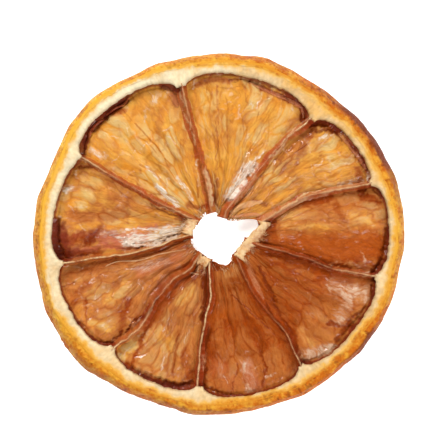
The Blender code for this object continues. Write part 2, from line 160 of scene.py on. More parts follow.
# Marks on each wedge's pulp: their kind, width and strength, and the points of their
# line, x and y in turn
# pit_and_shadow marks are real dips in the pulp with painted shadow in them; pale marks are pale film and
# painted glare highlights on glossy film; glow marks are painted light coming through thin pulp
PULP_MARKS = ("brown", "fresh", "pit_and_shadow", "pale", "plum", "glow", "blush")
MARKS = {
    "upper_right": (
        ("brown", 1.5, 0.8, 12.4, 15.4, 14.7, 16.1, 17.6, 14.8),
        ("brown", 1.3, 0.8, 14.0, 15.2, 12.8, 13.2, 12.1, 11.4),
        ("pit_and_shadow", 0.4, 0.9, 14.4, 14.9, 16.5, 14.9, 17.6, 14.3), ("pit_and_shadow", 0.4, 0.9, 17.3, 14.8, 18.2, 13.6),
        ("brown", 1.2, 0.8, 19.0, 13.6, 20.6, 11.3, 22.0, 9.2), ("pit_and_shadow", 0.4, 0.7, 19.4, 13.2, 20.3, 11.9),
        ("pit_and_shadow", 0.5, 0.8, 21.0, 10.4, 22.0, 9.1), ("pale", 0.7, 0.6, 15.0, 13.9, 17.0, 14.2),
        ("fresh", 2.0, 0.8, 16.2, 12.6, 17.0, 9.7), ("pale", 0.7, 0.8, 22.0, 8.8, 22.2, 7.8),
        ("brown", 0.9, 0.7, 20.3, 9.4, 21.0, 7.5), ("pale", 0.6, 0.6, 17.6, 7.0, 21.1, 7.9),
        ("brown", 0.6, 0.6, 11.9, 12.0, 11.5, 10.2), ("brown", 2.2, 0.5, 9.4, 9.8, 11.8, 12.8, 13.8, 15.4),
        ("brown", 0.7, 0.6, 5.2, 4.7, 7.1, 4.2), ("pale", 0.7, 0.6, 4.3, 5.3, 4.9, 6.7),
        ("brown", 1.8, 0.2, 9.9, 9.8, 12.1, 6.9),
    ),
    "top": (
        ("brown", 0.3, 0.55, -0.1, 21.4, -0.1, 14.9, -0.2, 8.3), ("brown", 0.3, 0.4, 4.0, 21.7, 4.3, 18.7),
        ("brown", 0.5, 0.3, 7.2, 20.8, 7.0, 18.1), ("brown", 0.9, 0.7, -3.1, 21.7, -0.8, 22.5, 1.8, 22.2),
        ("pit_and_shadow", 0.6, 0.9, 1.7, 22.5, 4.2, 22.2, 6.8, 21.4),
        ("brown", 0.9, 0.9, 6.5, 21.1, 9.9, 19.8, 12.1, 18.9), ("pit_and_shadow", 0.4, 0.8, 7.7, 20.6, 11.6, 19.2),
        ("brown", 0.9, 0.9, 12.2, 18.7, 12.7, 16.4), ("pit_and_shadow", 0.4, 0.8, 12.4, 17.4, 12.5, 16.2),
        ("blush", 2.0, 0.5, 4.9, 9.4, 3.2, 7.2, 1.8, 5.0), ("pale", 2.2, 1.1, 4.7, 9.6, 3.3, 7.3, 2.2, 5.4),
        ("pale", 1.0, 1.1, 4.2, 8.6, 2.8, 6.4, 1.9, 5.0), ("pale", 0.5, 0.8, 5.4, 10.6, 6.6, 11.8),
        ("fresh", 0.9, 0.6, 5.0, 10.5, 6.5, 12.0), ("pit_and_shadow", 0.9, 0.9, -0.1, 7.6, -0.4, 4.2),
        ("fresh", 2.0, 0.7, 9.9, 17.6, 8.0, 13.5), ("fresh", 1.3, 0.6, -1.8, 20.5, -2.1, 15.7),
        ("fresh", 1.8, 0.5, 3.3, 12.0, 4.8, 13.8), ("brown", 2.6, 0.2, 0.4, 16.7, 2.1, 14.0),
        ("pale", 0.2, 0.6, 2.3, 16.4, 5.0, 19.3), ("pale", 0.2, 0.6, 5.6, 18.1, 6.5, 20.5),
        ("plum", 0.9, 0.3, 7.1, 10.8, 10.3, 14.3), ("brown", 0.7, 0.4, -1.5, 9.1, -0.7, 6.9),
    ),
    "upper_left": (
        ("plum", 1.3, 0.9, -8.0, 21.5, -6.7, 21.1, -5.9, 19.0), ("pale", 0.6, 0.3, -7.5, 20.8, -6.7, 19.9),
        ("pale", 1.3, 0.5, -8.7, 20.3, -9.4, 19.2), ("pit_and_shadow", 0.7, 0.9, -13.4, 19.3, -14.9, 18.3),
        ("brown", 0.9, 0.9, -14.0, 18.0, -15.3, 17.3), ("pit_and_shadow", 0.8, 0.9, -15.7, 17.6, -16.3, 16.7),
        ("pit_and_shadow", 0.4, 0.8, -16.5, 16.4, -17.8, 16.1, -18.7, 14.9),
        ("brown", 1.0, 0.9, -18.7, 15.2, -19.5, 13.5), ("pit_and_shadow", 0.6, 0.9, -19.0, 14.0, -19.8, 11.3),
        ("brown", 1.0, 0.25, -4.6, 15.2, -5.5, 12.3), ("brown", 1.0, 0.3, -8.4, 17.6, -8.7, 13.8),
        ("pale", 1.2, 0.5, -18.5, 12.0, -16.8, 11.4), ("pale", 0.6, 0.6, -10.3, 9.4, -8.7, 7.9),
        ("fresh", 2.6, 0.9, -10.2, 8.6, -5.4, 5.2), ("pale", 1.0, 0.9, -8.9, 6.7, -6.1, 4.3),
        ("pale", 0.6, 0.7, -5.8, 8.2, -3.7, 4.7), ("pale", 0.4, 0.6, -3.0, 10.5, -2.7, 7.0),
        ("fresh", 3.5, 0.7, -11.3, 13.5, -14.6, 15.2), ("brown", 0.9, 0.8, -4.3, 4.0, -2.6, 3.5, -1.5, 4.1),
        ("brown", 0.6, 0.5, -11.5, 9.1, -10.5, 8.2),
    ),
    "left": (
        ("pit_and_shadow", 0.7, 0.8, -20.3, 9.7, -17.6, 9.7), ("pale", 0.7, 0.7, -20.7, 8.8, -20.6, 8.2),
        ("pale", 1.2, 0.9, -22.2, 6.1, -21.4, 6.6), ("brown", 1.2, 0.5, -19.0, 6.7, -18.1, 6.4),
        ("fresh", 2.0, 0.6, -17.9, 7.9, -20.1, 4.0),
        ("pit_and_shadow", 1.6, 1.0, -23.6, 1.5, -23.5, -1.9, -22.8, -4.0),
        ("pit_and_shadow", 1.8, 1.2, -23.2, 0.8, -22.7, -1.8, -21.9, -3.4),
        ("plum", 2.0, 0.7, -22.6, 0.2, -21.6, -2.0, -20.6, -3.2),
        ("plum", 1.2, 0.6, -20.6, -0.6, -17.4, 0.4), ("brown", 2.2, 0.9, -21.9, -0.9, -18.4, -0.9),
        ("pit_and_shadow", 1.2, 0.9, -19.0, -1.3, -17.3, 0.3), ("brown", 1.3, 0.9, -22.2, -2.9, -17.5, -2.6),
        ("pit_and_shadow", 0.4, 0.8, -22.2, -4.0, -19.0, -3.1), ("plum", 1.3, 0.5, -17.2, -0.9, -14.9, 0.0),
        ("pale", 1.0, 0.5, -16.9, -0.3, -14.0, -0.1),
        ("blush", 2.6, 0.95, -16.6, -0.9, -14.2, -1.1, -11.0, -0.7),
        ("blush", 0.9, 0.55, -21.0, -2.4, -16.4, -2.1, -13.2, -1.6),
        ("plum", 0.7, 0.8, -17.6, 0.4, -16.0, 0.2, -15.2, -0.6), ("blush", 0.9, 0.7, -12.6, 0.4, -9.0, 0.9),
        ("pale", 2.4, 1.0, -12.9, -1.1, -9.6, -0.8, -6.6, 0.0),
        ("pale", 0.9, 1.2, -12.3, -1.8, -8.8, -1.5, -6.0, -0.6),
        ("pale", 0.6, 0.9, -15.6, -0.6, -12.0, -0.7), ("pale", 0.5, 0.8, -13.6, 0.4, -10.0, 0.6, -7.4, 0.9),
        ("plum", 0.7, 0.5, -9.9, 0.7, -6.7, 1.5), ("pale", 0.6, 0.7, -9.9, 0.3, -6.7, 0.7),
        ("plum", 0.6, 0.9, -6.1, 1.9, -4.8, 1.8), ("brown", 0.4, 0.9, -16.6, -2.0, -12.7, -2.3),
        ("pit_and_shadow", 0.3, 0.8, -9.9, 4.2, -6.2, 2.5, -4.6, 2.0), ("pale", 0.9, 0.8, -5.5, 0.6, -4.3, 1.5),
        ("brown", 2.0, 0.5, -14.0, 2.6, -21.3, 2.3), ("brown", 1.0, 0.5, -14.9, 3.8, -13.2, 2.9),
        ("brown", 1.8, 0.3, -15.4, 5.3, -9.9, 3.2),
    ),
    "lower_left": (
        ("brown", 1.8, 0.3, -21.6, -6.3, -15.7, -4.4, -5.2, -1.6),
        ("pit_and_shadow", 0.3, 0.6, -22.5, -7.8, -20.9, -7.3), ("pit_and_shadow", 0.4, 0.8, -20.6, -13.2, -19.4, -13.8),
        ("pit_and_shadow", 0.4, 0.8, -18.4, -15.2, -17.3, -16.2), ("pit_and_shadow", 0.4, 0.8, -17.5, -15.8, -15.3, -16.1),
        ("pale", 0.7, 0.4, -16.9, -16.7, -16.0, -16.8), ("pale", 1.3, 0.5, -10.8, -5.1, -7.5, -4.2),
        ("blush", 1.9, 0.4, -11.2, -5.6, -8.4, -4.9, -5.6, -3.6),
        ("pale", 0.2, 0.8, -13.7, -5.3, -11.9, -5.3), ("pale", 0.2, 0.8, -11.6, -7.5, -10.9, -8.3),
        ("brown", 0.6, 0.7, -19.4, -9.7, -19.2, -12.3), ("pale", 0.2, 0.6, -19.0, -10.8, -19.1, -12.6),
        ("pale", 0.6, 0.6, -16.9, -13.8, -15.7, -13.0), ("fresh", 1.3, 0.7, -18.4, -13.2, -16.3, -14.0),
        ("plum", 1.8, 0.6, -7.7, -7.0, -9.1, -10.7, -10.2, -12.6),
        ("pit_and_shadow", 0.3, 0.9, -9.9, -10.4, -10.9, -12.3, -12.5, -13.2, -13.4, -14.8),
        ("pale", 0.4, 0.5, -12.4, -13.8, -11.3, -12.7), ("pit_and_shadow", 0.4, 0.7, -15.3, -15.8, -14.0, -14.6),
        ("brown", 1.2, 0.9, -3.0, -4.0, -4.6, -5.1), ("fresh", 2.0, 0.5, -15.7, -10.0, -13.5, -7.8),
        ("brown", 1.6, 0.5, -21.3, -10.0, -19.2, -7.6), ("brown", 1.3, 0.5, -14.3, -14.3, -13.1, -10.0),
    ),
    "bottom_left": (
        ("brown", 1.8, 0.45, -3.7, -6.1, -6.7, -8.5, -9.6, -12.6),
        ("brown", 0.7, 0.7, -9.9, -12.9, -11.6, -16.5, -12.7, -19.6),
        ("fresh", 2.2, 0.9, -12.6, -16.2, -14.1, -17.9), ("pale", 0.5, 0.4, -13.1, -16.8, -13.6, -17.9),
        ("pit_and_shadow", 1.0, 1.0, -8.7, -22.0, -6.2, -22.4, -3.6, -22.2),
        ("pit_and_shadow", 0.4, 0.8, -12.4, -19.6, -10.6, -21.2, -8.7, -22.0),
        ("brown", 0.9, 0.9, -13.2, -19.2, -12.2, -19.9),
        ("pit_and_shadow", 1.2, 0.9, -2.0, -5.9, -1.7, -9.2, -2.1, -12.6),
        ("brown", 1.8, 0.5, -4.9, -18.0, -4.0, -21.4), ("fresh", 2.3, 0.5, -8.4, -14.3, -6.7, -17.0),
        ("fresh", 1.8, 0.6, -5.5, -10.0, -4.0, -8.2), ("pale", 0.3, 0.6, -4.3, -14.3, -4.9, -16.2),
        ("pale", 0.3, 0.6, -7.4, -17.6, -8.4, -19.9), ("pale", 0.3, 0.5, -8.0, -14.3, -6.8, -12.0),
        ("pale", 1.2, 0.3, -11.5, -20.2, -10.0, -21.1), ("brown", 0.6, 0.4, -6.7, -20.9, -5.8, -14.3),
    ),
    "bottom": (
        ("pit_and_shadow", 1.2, 0.9, -1.7, -14.3, -2.1, -18.7, -2.3, -22.4),
        ("pale", 0.4, 0.8, -1.7, -17.6, -2.1, -19.6), ("pit_and_shadow", 0.7, 0.9, -1.2, -4.2, -0.2, -5.3),
        ("fresh", 1.8, 0.6, 1.2, -5.9, 2.9, -5.3), ("glow", 1.8, 0.6, -0.5, -12.3, 2.1, -11.1),
        ("pit_and_shadow", 0.2, 0.7, 2.1, -8.9, 4.3, -11.0, 7.4, -14.0), ("pit_and_shadow", 0.2, 0.5, -0.7, -14.5, 2.0, -13.2),
        ("pale", 2.2, 0.65, 4.2, -19.0, 4.8, -22.5), ("pit_and_shadow", 0.2, 0.8, 2.9, -19.0, 2.1, -23.3),
        ("pit_and_shadow", 0.3, 0.7, 6.2, -17.3, 7.1, -19.6, 6.5, -22.5), ("pale", 0.6, 0.6, 7.1, -21.1, 8.3, -20.6),
        ("pit_and_shadow", 0.4, 0.8, -2.3, -22.5, -0.4, -23.0, 1.8, -23.7, 4.5, -23.9),
        ("pale", 1.0, 0.3, 0.1, -17.3, 0.4, -20.8), ("pale", 0.2, 0.6, 5.8, -15.1, 5.9, -16.5),
        ("plum", 1.2, 0.3, 8.4, -11.4, 10.3, -15.5), ("blush", 2.2, 0.4, 4.2, -19.4, 5.4, -22.4),
        ("pale", 0.3, 0.7, 4.0, -20.4, 6.0, -19.6), ("blush", 3.0, 0.15, 0.0, -19.8, 2.0, -22.0),
        ("pale", 0.2, 0.8, 1.0, -20.6, 1.4, -22.2), ("brown", 1.8, 0.4, 4.8, -12.9, 6.5, -16.5),
    ),
    "lower_right": (
        ("pale", 1.0, 0.3, 4.5, -4.4, 6.5, -9.4), ("pit_and_shadow", 0.6, 0.8, 6.2, -5.1, 8.3, -10.0),
        ("pit_and_shadow", 0.4, 0.8, 8.0, -10.0, 10.3, -14.0),
        ("pit_and_shadow", 1.2, 0.9, 10.5, -14.3, 11.5, -17.0, 12.5, -18.9),
        ("pale", 2.8, 0.65, 17.0, -8.0, 21.1, -8.9),
        ("pale", 0.25, 0.9, 17.8, -8.0, 19.6, -8.3, 20.6, -9.2),
        ("pale", 0.2, 0.9, 19.0, -9.6, 20.4, -10.2), ("pale", 0.2, 0.8, 17.0, -11.2, 18.6, -11.0),
        ("pale", 2.2, 0.6, 18.8, -10.7, 17.9, -12.6), ("pale", 2.0, 0.65, 12.7, -18.0, 16.6, -17.1),
        ("pale", 0.9, 0.3, 13.2, -11.9, 14.7, -12.1), ("pit_and_shadow", 0.6, 0.8, 22.5, -7.6, 22.5, -9.8),
        ("pit_and_shadow", 0.7, 0.8, 16.2, -13.2, 18.7, -13.8), ("pit_and_shadow", 0.9, 0.8, 19.4, -12.9, 17.5, -15.7),
        ("pit_and_shadow", 0.6, 0.7, 20.0, -12.3, 21.3, -11.0), ("pit_and_shadow", 0.9, 0.7, 6.5, -2.9, 12.1, -4.1, 16.5, -5.6),
        ("pale", 0.3, 0.7, 16.5, -16.2, 17.5, -16.8), ("plum", 1.2, 0.4, 17.0, -6.3, 19.4, -7.2),
        ("fresh", 1.2, 0.4, 12.1, -14.3, 13.8, -16.5),
    ),
    "right": (
        ("pit_and_shadow", 0.9, 0.9, 24.8, 0.6, 24.5, -1.9, 23.5, -4.2, 22.6, -5.9),
        ("pit_and_shadow", 0.6, 0.8, 20.6, 6.3, 22.5, 6.7, 23.9, 5.1), ("brown", 1.2, 0.7, 21.1, 5.4, 23.6, 4.5),
        ("brown", 1.2, 0.7, 12.8, 4.2, 16.5, 5.1), ("brown", 5.0, 0.8, 11.5, -2.6, 23.0, -2.3),
        ("glow", 5.0, 0.8, 9.5, -1.4, 22.0, -1.6), ("glow", 2.0, 0.5, 12.0, 3.0, 20.0, 4.4),
        ("pit_and_shadow", 1.3, 0.9, 7.4, 0.9, 7.0, -2.0), ("pit_and_shadow", 1.2, 0.8, 7.7, -1.3, 10.9, -2.3),
        ("brown", 0.9, 0.8, 8.1, 1.5, 8.4, -0.9), ("pit_and_shadow", 0.7, 0.7, 10.6, -2.8, 15.7, -4.2, 19.4, -5.3),
        ("plum", 1.2, 0.5, 20.4, -3.8, 21.7, -5.3), ("pale", 0.4, 0.8, 21.0, -2.9, 21.4, -4.7),
        ("pale", 0.2, 0.9, 20.6, -5.3, 21.7, -5.9, 22.5, -5.6), ("pale", 0.3, 0.7, 20.3, -1.3, 21.0, -1.5),
        ("fresh", 1.8, 0.6, 9.7, 2.3, 13.8, 3.2), ("fresh", 1.0, 0.5, 9.4, 0.9, 15.7, 0.9),
        ("brown", 0.9, 0.5, 17.2, 4.0, 18.7, 1.5), ("fresh", 1.3, 0.5, 19.7, 2.5, 22.6, 1.5),
    ),
}

# Marks on the walls, by the wall's number, in the same way: cream edges, pinkish film with painted pinkish
# highlights, painted shade (dark) along the walls' sides, and plum film
FILM_MARKS = ("cream", "pink", "dark", "plum")
WALL_MARKS = {
    0: (
        ("cream", 0.25, 1.0, 22.4, 7.9, 20.6, 7.6, 18.9, 7.8, 16.0, 6.6, 13.0, 5.7, 8.6, 3.0),
        ("pink", 1.2, 0.55, 15.6, 5.2, 10.6, 3.9, 7.2, 2.0),
        ("pink", 0.8, 0.6, 21.4, 7.6, 17.5, 6.4, 15.0, 5.4), ("cream", 0.5, 0.5, 13.0, 4.9, 10.2, 3.9),
        ("dark", 0.3, 0.8, 7.6, 1.6, 11.4, 3.6, 15.0, 4.6),
    ),
    1: (
        ("cream", 0.22, 0.9, 13.4, 16.9, 12.1, 16.0, 10.6, 14.9, 9.5, 12.7, 7.7, 10.9),
        ("pink", 0.5, 0.7, 9.8, 12.9, 8.1, 11.0), ("pink", 0.4, 0.7, 5.6, 8.3, 4.2, 6.4, 2.6, 4.2),
        ("dark", 0.3, 0.7, 10.8, 13.9, 8.3, 10.8, 5.4, 7.3),
    ),
    2: (
        ("pink", 0.3, 1.2, -4.4, 16.8, -4.0, 15.2), ("pink", 0.25, 1.2, -3.9, 14.7, -3.4, 12.9),
        ("pink", 0.7, 1.0, -1.7, 9.4, -1.2, 6.4, -0.9, 4.4),
        ("cream", 0.5, 0.8, -1.6, 9.0, -1.1, 5.8, -0.8, 4.2), ("pink", 0.25, 0.9, -5.0, 18.0, -4.4, 16.2),
        ("dark", 0.3, 0.9, -2.5, 9.8, -1.9, 7.0, -1.5, 4.6),
        ("cream", 0.25, 0.8, -5.6, 21.2, -5.2, 19.6, -4.8, 18.4),
        ("plum", 1.6, 0.9, -7.0, 21.0, -6.3, 19.4, -5.4, 17.6),
        ("dark", 0.3, 0.8, -2.1, 11.4, -1.2, 8.6, -0.8, 7.2),
        ("dark", 0.25, 0.7, -4.9, 18.6, -4.0, 14.9, -3.4, 11.6),
    ),
    3: (
        ("pink", 0.3, 0.9, -17.0, 8.9, -14.4, 7.6), ("pink", 0.2, 0.7, -12.6, 6.6, -10.7, 5.7),
        ("cream", 0.25, 0.9, -8.4, 3.9, -5.5, 2.9, -4.2, 2.4),
        ("cream", 0.25, 0.8, -20.4, 11.0, -18.8, 10.2, -17.2, 9.2),
        ("dark", 0.4, 0.7, -16.6, 7.9, -13.0, 6.2, -9.4, 4.6),
    ),
    5: (
        ("dark", 0.5, 0.8, -8.6, -9.6, -10.6, -12.2, -12.6, -14.0),
        ("pink", 0.3, 0.7, -9.6, -11.4, -11.2, -13.4),
    ),
    6: (
        ("pink", 0.25, 0.9, -2.2, -18.0, -2.3, -20.4),
        ("dark", 0.4, 0.8, -1.9, -10.4, -2.3, -14.0, -2.6, -17.0),
    ),
    7: (
        ("pink", 0.12, 0.6, 7.2, -9.4, 8.0, -11.2), ("dark", 0.5, 0.7, 5.2, -6.2, 7.2, -10.2, 9.4, -14.4),
    ),
    8: (
        ("pink", 0.16, 0.7, 13.6, -4.5, 17.0, -5.6),
        ("cream", 0.2, 0.7, 17.4, -5.6, 19.4, -5.8, 22.4, -6.6),
        ("dark", 0.5, 0.8, 7.6, -2.2, 12.6, -3.9, 16.8, -5.0),
    ),
}

# Cream folds, films and torn strips that lie on the pulp: the wedge that they lie in, their line, width
# and rise over the pulp, and how creamy and how brown they are
# The pink column gives pinkish film with painted pinkish highlights along it
RIBBON_PARTS = ("name", "wedge", "width", "rise", "cream", "film", "pink", "line")
RIBBONS = [
    dict(zip(RIBBON_PARTS, row, strict=True))
    for row in (
        ("fold_line_lower_left", 4, 0.22, 0.12, 0.45, 0.3, 0.2,
         ((-4.6, -2.4), (-8.4, -3.1), (-11.3, -4.0), (-14.6, -4.2), (-16.4, -4.9))),
        ("tip_strip_inner", 1, 0.7, 0.2, 0.2, 0.4, 0.3, ((0.9, 3.3), (2.1, 4.7), (4.0, 6.1))),
        ("tip_strip_middle", 0, 0.9, 0.18, 0.3, 0.3, 0.4, ((1.6, 2.9), (3.2, 3.7), (5.0, 4.3), (6.6, 4.6))),
        ("tip_strip_outer", 0, 0.6, 0.2, 0.1, 0.7, 0.1, ((2.0, 2.3), (3.6, 2.5), (5.2, 2.7), (6.4, 2.5))),
        ("film_lower_right", 7, 0.8, 0.16, 0.08, 0.25, 0.3,
         ((4.4, -5.2), (5.2, -6.8), (5.9, -8.2), (6.7, -9.8))),
        ("fold_line_bottom", 6, 0.25, 0.1, 0.0, 0.2, 0.2,
         ((2.3, -8.9), (4.0, -10.7), (6.5, -13.2), (8.4, -15.1))),
        ("fold_upper_left", 2, 0.9, 0.3, 0.05, 0.1, 0.2,
         ((-8.1, 21.4), (-7.4, 20.9), (-6.6, 19.9), (-5.8, 18.4))),
        ("tip_edge_bottom_left", 5, 0.25, 0.15, 0.4, 0.4, 0.2, ((-4.6, -5.6), (-3.6, -5.9), (-2.7, -6.1))),
        ("loop_upper_left", 2, 0.4, 0.45, 0.0, 0.7, 0.1,
         ((-12.9, 19.9), (-13.8, 18.8), (-15.2, 18.1), (-16.3, 17.2))),
        ("loop_left_corner", 2, 0.45, 0.4, 0.0, 0.8, 0.1,
         ((-16.4, 16.7), (-17.8, 15.9), (-18.5, 14.9), (-19.0, 13.5), (-19.5, 11.6))),
        ("loop_top", 1, 0.6, 0.3, 0.1, 0.6, 0.2,
         ((4.6, 22.0), (7.6, 20.6), (10.6, 19.3), (12.2, 18.3), (12.6, 16.8))),
        ("loop_upper_right", 0, 0.5, 0.3, 0.1, 0.6, 0.2,
         ((17.9, 14.4), (19.4, 12.6), (20.8, 10.8), (21.8, 9.2))),
    )
]

# Strips of core that still close wedges off from the hole: the wedges they cross, how wide and creamy
CORE_STRIPS = (
    {"name": "core_left", "wedges": (3,), "width": 1.5, "cream": 0.85},
    {"name": "core_bottom_left", "wedges": (5,), "width": 1.4, "cream": 0.7},
    {"name": "core_right", "wedges": (7, 8), "width": 1.8, "cream": 0.95},
)

# The rind round the slice, at even steps of bearing: how wide the peel's band looks from above (every
# 20 degrees), how browned the peel and how yellowed the pith is (every 40 degrees)
PEEL_WIDTH = (1.5, 2.0, 1.9, 1.6, 1.45, 1.4, 1.0, 1.0, 1.15, 1.4, 1.1, 2.3, 1.7, 1.8, 1.9, 1.75, 1.9, 1.5)
PEEL_AGE = (0.28, 0.8, 0.48, 0.2, 0.12, 0.28, 0.55, 0.6, 0.72)
PITH_AGE = (0.5, 0.8, 0.42, 0.0, 0.08, 0.26, 0.42, 0.44, 0.65)
# Stretches of rim whose outermost edge is painted darker, as painted shade on the side away from the key
# light: middle bearing, half width, strength
DARK_RIM = (
    (32.0, 28.0, 1.6), (322.0, 16.0, 1.2), (75.0, 10.0, 0.35), (262.0, 22.0, 0.45), (228.0, 12.0, 0.4),
)
# Stretches where the peel is bumpy, in the same way
BUMPY_RIM = ((216.0, 22.0, 1.0), (30.0, 28.0, 0.6), (250.0, 16.0, 0.5), (325.0, 20.0, 0.5))
PEEL_CAVES_UNDER = 2.4

# How finely the pieces are divided
PULP_STEPS = (65, 75)
RIM_COLUMNS = 1400
WALL_ROWS = 210
WALL_WOBBLE = 0.16
# Thin lines on each wedge: long dark ones along it, short dark ones all ways, and short pale ones painted as
# highlights (the glints)
VEINS = 24
HAIRS = 26
GLINTS = 20
# How deep the seams between juice sacs are where walls, films and threads lie on the pulp
FILM_SAC_DEPTH = 0.1


def blend(first, last, share):
    """The value a share of the way from first to last."""
    return first + (last - first) * share


def held(values):
    """Values held between 0 and 1."""
    return np.clip(values, 0.0, 1.0)


def ease(share):
    """A share from 0 to 1, eased at both ends."""
    share = held(share)
    return share * share * (3.0 - 2.0 * share)


def cubic(before, start, end, after, share):
    """A smooth curve from start to end that leaves and arrives as its neighbours suggest."""
    slope_in, slope_out = (end - before) / 2.0, (after - start) / 2.0
    square, cube = share * share, share**3
    return (
        (2 * cube - 3 * square + 1) * start
        + (cube - 2 * square + share) * slope_in
        + (3 * square - 2 * cube) * end
        + (cube - square) * slope_out
    )


def around(stations, degrees):
    """Smooth values at bearings, from values at even steps round the full turn."""
    table = np.asarray(stations, dtype=float)
    place = np.mod(degrees, 360.0) * len(table) / 360.0
    first = np.asarray(place).astype(int)
    near = [table[(first + step) % len(table)] for step in (-1, 0, 1, 2)]
    return cubic(*near, place - first)


def between(stations, share):
    """Smooth values at shares of the way along evenly spaced stations."""
    table = np.asarray(stations, dtype=float)
    place = held(share) * (len(table) - 1)
    first = np.minimum(np.asarray(place).astype(int), len(table) - 2)
    near = [table[np.clip(first + step, 0, len(table) - 1)] for step in (-1, 0, 1, 2)]
    return cubic(*near, place - first)


def lattice_value(column, row, seed):
    """A fixed value from 0 to 1 for each place of a grid."""
    mixed = (column * 374761393 + row * 668265263 + seed * 2246822519) & 0xFFFFFFFF
    mixed = ((mixed ^ (mixed >> 13)) * 1274126177) & 0xFFFFFFFF
    return (mixed ^ (mixed >> 16)) / 4294967295.0


def noise(x, y, seed, turn=0):
    """Soft noise from 0 to 1 with spots one unit wide. With turn, x repeats after that many units."""
    x, y = np.broadcast_arrays(np.asarray(x, dtype=float), np.asarray(y, dtype=float))
    left, low = np.floor(x).astype(np.int64), np.floor(y).astype(np.int64)
    across, up = ease(x - left), ease(y - low)
    right = left + 1
    if turn:
        left, right = left % turn, right % turn
    below = blend(lattice_value(left, low, seed), lattice_value(right, low, seed), across)
    above = blend(lattice_value(left, low + 1, seed), lattice_value(right, low + 1, seed), across)
    return blend(below, above, up)


def layered(x, y, seed, layers=3, turn=0):
    """Noise with ever finer layers laid over it, still from 0 to 1."""
    total, weight, size = 0.0, 0.0, 1
    for layer in range(layers):
        total = total + noise(x * size, y * size, seed + layer, turn * size) / size
        weight += 1.0 / size
        size *= 2
    return total / weight


def creases(x, y, seed, turn=0):
    """Thin winding lines: 1 on a line, 0 away from it."""
    return held(1.0 - np.abs(2.0 * layered(x, y, seed, 2, turn) - 1.0) * 5.0)


def cells(x, y, seed, turn=0):
    """Cells a unit wide: how far a place is inside its own, the distance to its middle, its value."""
    x, y = np.broadcast_arrays(np.asarray(x, dtype=float), np.asarray(y, dtype=float))
    left, low = np.floor(x).astype(np.int64), np.floor(y).astype(np.int64)
    nearest, second = np.full(x.shape, 9.0), np.full(x.shape, 9.0)
    own = np.zeros(x.shape)
    for step in range(9):
        column, row = left + step % 3 - 1, low + step // 3 - 1
        named = column % turn if turn else column
        middle_x = column + 0.1 + 0.8 * lattice_value(named, row, seed)
        middle_y = row + 0.1 + 0.8 * lattice_value(named, row, seed + 1)
        distance = np.hypot(x - middle_x, y - middle_y)
        closer = distance < nearest
        second = np.where(closer, nearest, np.minimum(second, distance))
        own = np.where(closer, lattice_value(named, row, seed + 2), own)
        nearest = np.minimum(nearest, distance)
    return second - nearest, nearest, own


def rim_radius(degrees):
    turn = np.radians(degrees)
    lumps = sum(height * np.sin(count * turn + start) for count, height, start in RIM_LUMPS)
    return MEAN_RADIUS + around(OUT_OF_ROUND, degrees) + lumps


def peel_lean(degrees):
    """How far the peel's upper edge lies inside its widest line."""
    return PEEL_LEAN + PEEL_LEAN_SWING * np.cos(np.radians(2.0 * (degrees - PEEL_LEAN_FACING)))


def rind_top(degrees):
    """The height of the rind's upper edge, which rises and falls gently round the slice."""
    turn = np.radians(degrees)
    wave = 0.6 * np.sin(3 * turn + 0.5) + 0.4 * np.sin(7 * turn + 1.9)
    return RIND_HEIGHT - RIM_WAVE + RIM_WAVE * wave


def wall_bearing(number, radius):
    """Where wall number stands at each radius, in degrees that grow from wall to wall."""
    turns, index = divmod(number, len(WALLS))
    wall = WALLS[index]
    bearings = np.asarray(wall["bearings"])
    radii = np.asarray((around(HOLE_RADIUS, bearings[0]), *BEARING_RADII, wall["root"]))
    place = np.minimum(np.searchsorted(radii[1:], radius), len(radii) - 2)
    share = held((radius - radii[place]) / (radii[place + 1] - radii[place]))
    before, after = bearings[np.maximum(place - 1, 0)], bearings[np.minimum(place + 2, len(bearings) - 1)]
    plain = cubic(before, bearings[place], bearings[place + 1], after, share)
    wobble = WALL_WOBBLE * (2.0 * layered(np.asarray(radius) / 1.7, 7.3 * index, 61) - 1.0)
    return 360.0 * turns + plain + np.degrees(wobble / radius)


def skirt(number, side, radius):
    """How wide wall number's film is at a radius: side 0 lies before the wall and side 1 after it."""
    wall = WALLS[number % len(WALLS)]
    tip = around(HOLE_RADIUS, wall["bearings"][0])
    return between(wall["skirts"][side], (radius - tip) / (wall["root"] - tip))


def path_distance(x, y, path):
    """How far each place lies from a line through points."""
    nearest = np.full(x.shape, 99.0)
    for (x_start, y_start), (x_end, y_end) in zip(path[:-1], path[1:], strict=True):
        step_x, step_y = x_end - x_start, y_end - y_start
        share = ((x - x_start) * step_x + (y - y_start) * step_y) / (step_x**2 + step_y**2)
        share = held(share)
        nearest = np.minimum(nearest, np.hypot(x - x_start - share * step_x, y - y_start - share * step_y))
    return nearest


def stroke(x, y, width, path):
    """How strongly a soft ragged stroke along a path covers each place, from 0 to 1."""
    ragged = 0.55 + 0.9 * layered(x * 1.9, y * 1.9, 77)
    soft = 0.12 + 0.5 * width
    return ease((0.5 * width * ragged + 0.35 * soft - path_distance(x, y, path)) / soft)


def strokes(x, y, marks, kinds):
    """How strongly each kind of mark covers each place, their edges warped."""
    found = {kind: np.zeros(x.shape) for kind in kinds}
    warped_x = x + 0.7 * (layered(x * 0.9, y * 0.9, 46) - 0.5) + 0.3 * (noise(x * 3.1, y * 3.1, 47) - 0.5)
    warped_y = y + 0.7 * (layered(x * 0.9, y * 0.9, 48) - 0.5) + 0.3 * (noise(x * 3.1, y * 3.1, 49) - 0.5)
    for kind, width, strength, *places in marks:
        path = list(zip(places[::2], places[1::2], strict=True))
        found[kind] = np.maximum(found[kind], strength * stroke(warped_x, warped_y, width, path))
    return found


def polar(radius, degrees, height):
    """Points from radii, bearings and heights."""
    turn = np.radians(degrees)
    return np.stack(np.broadcast_arrays(radius * np.cos(turn), radius * np.sin(turn), height), axis=-1)


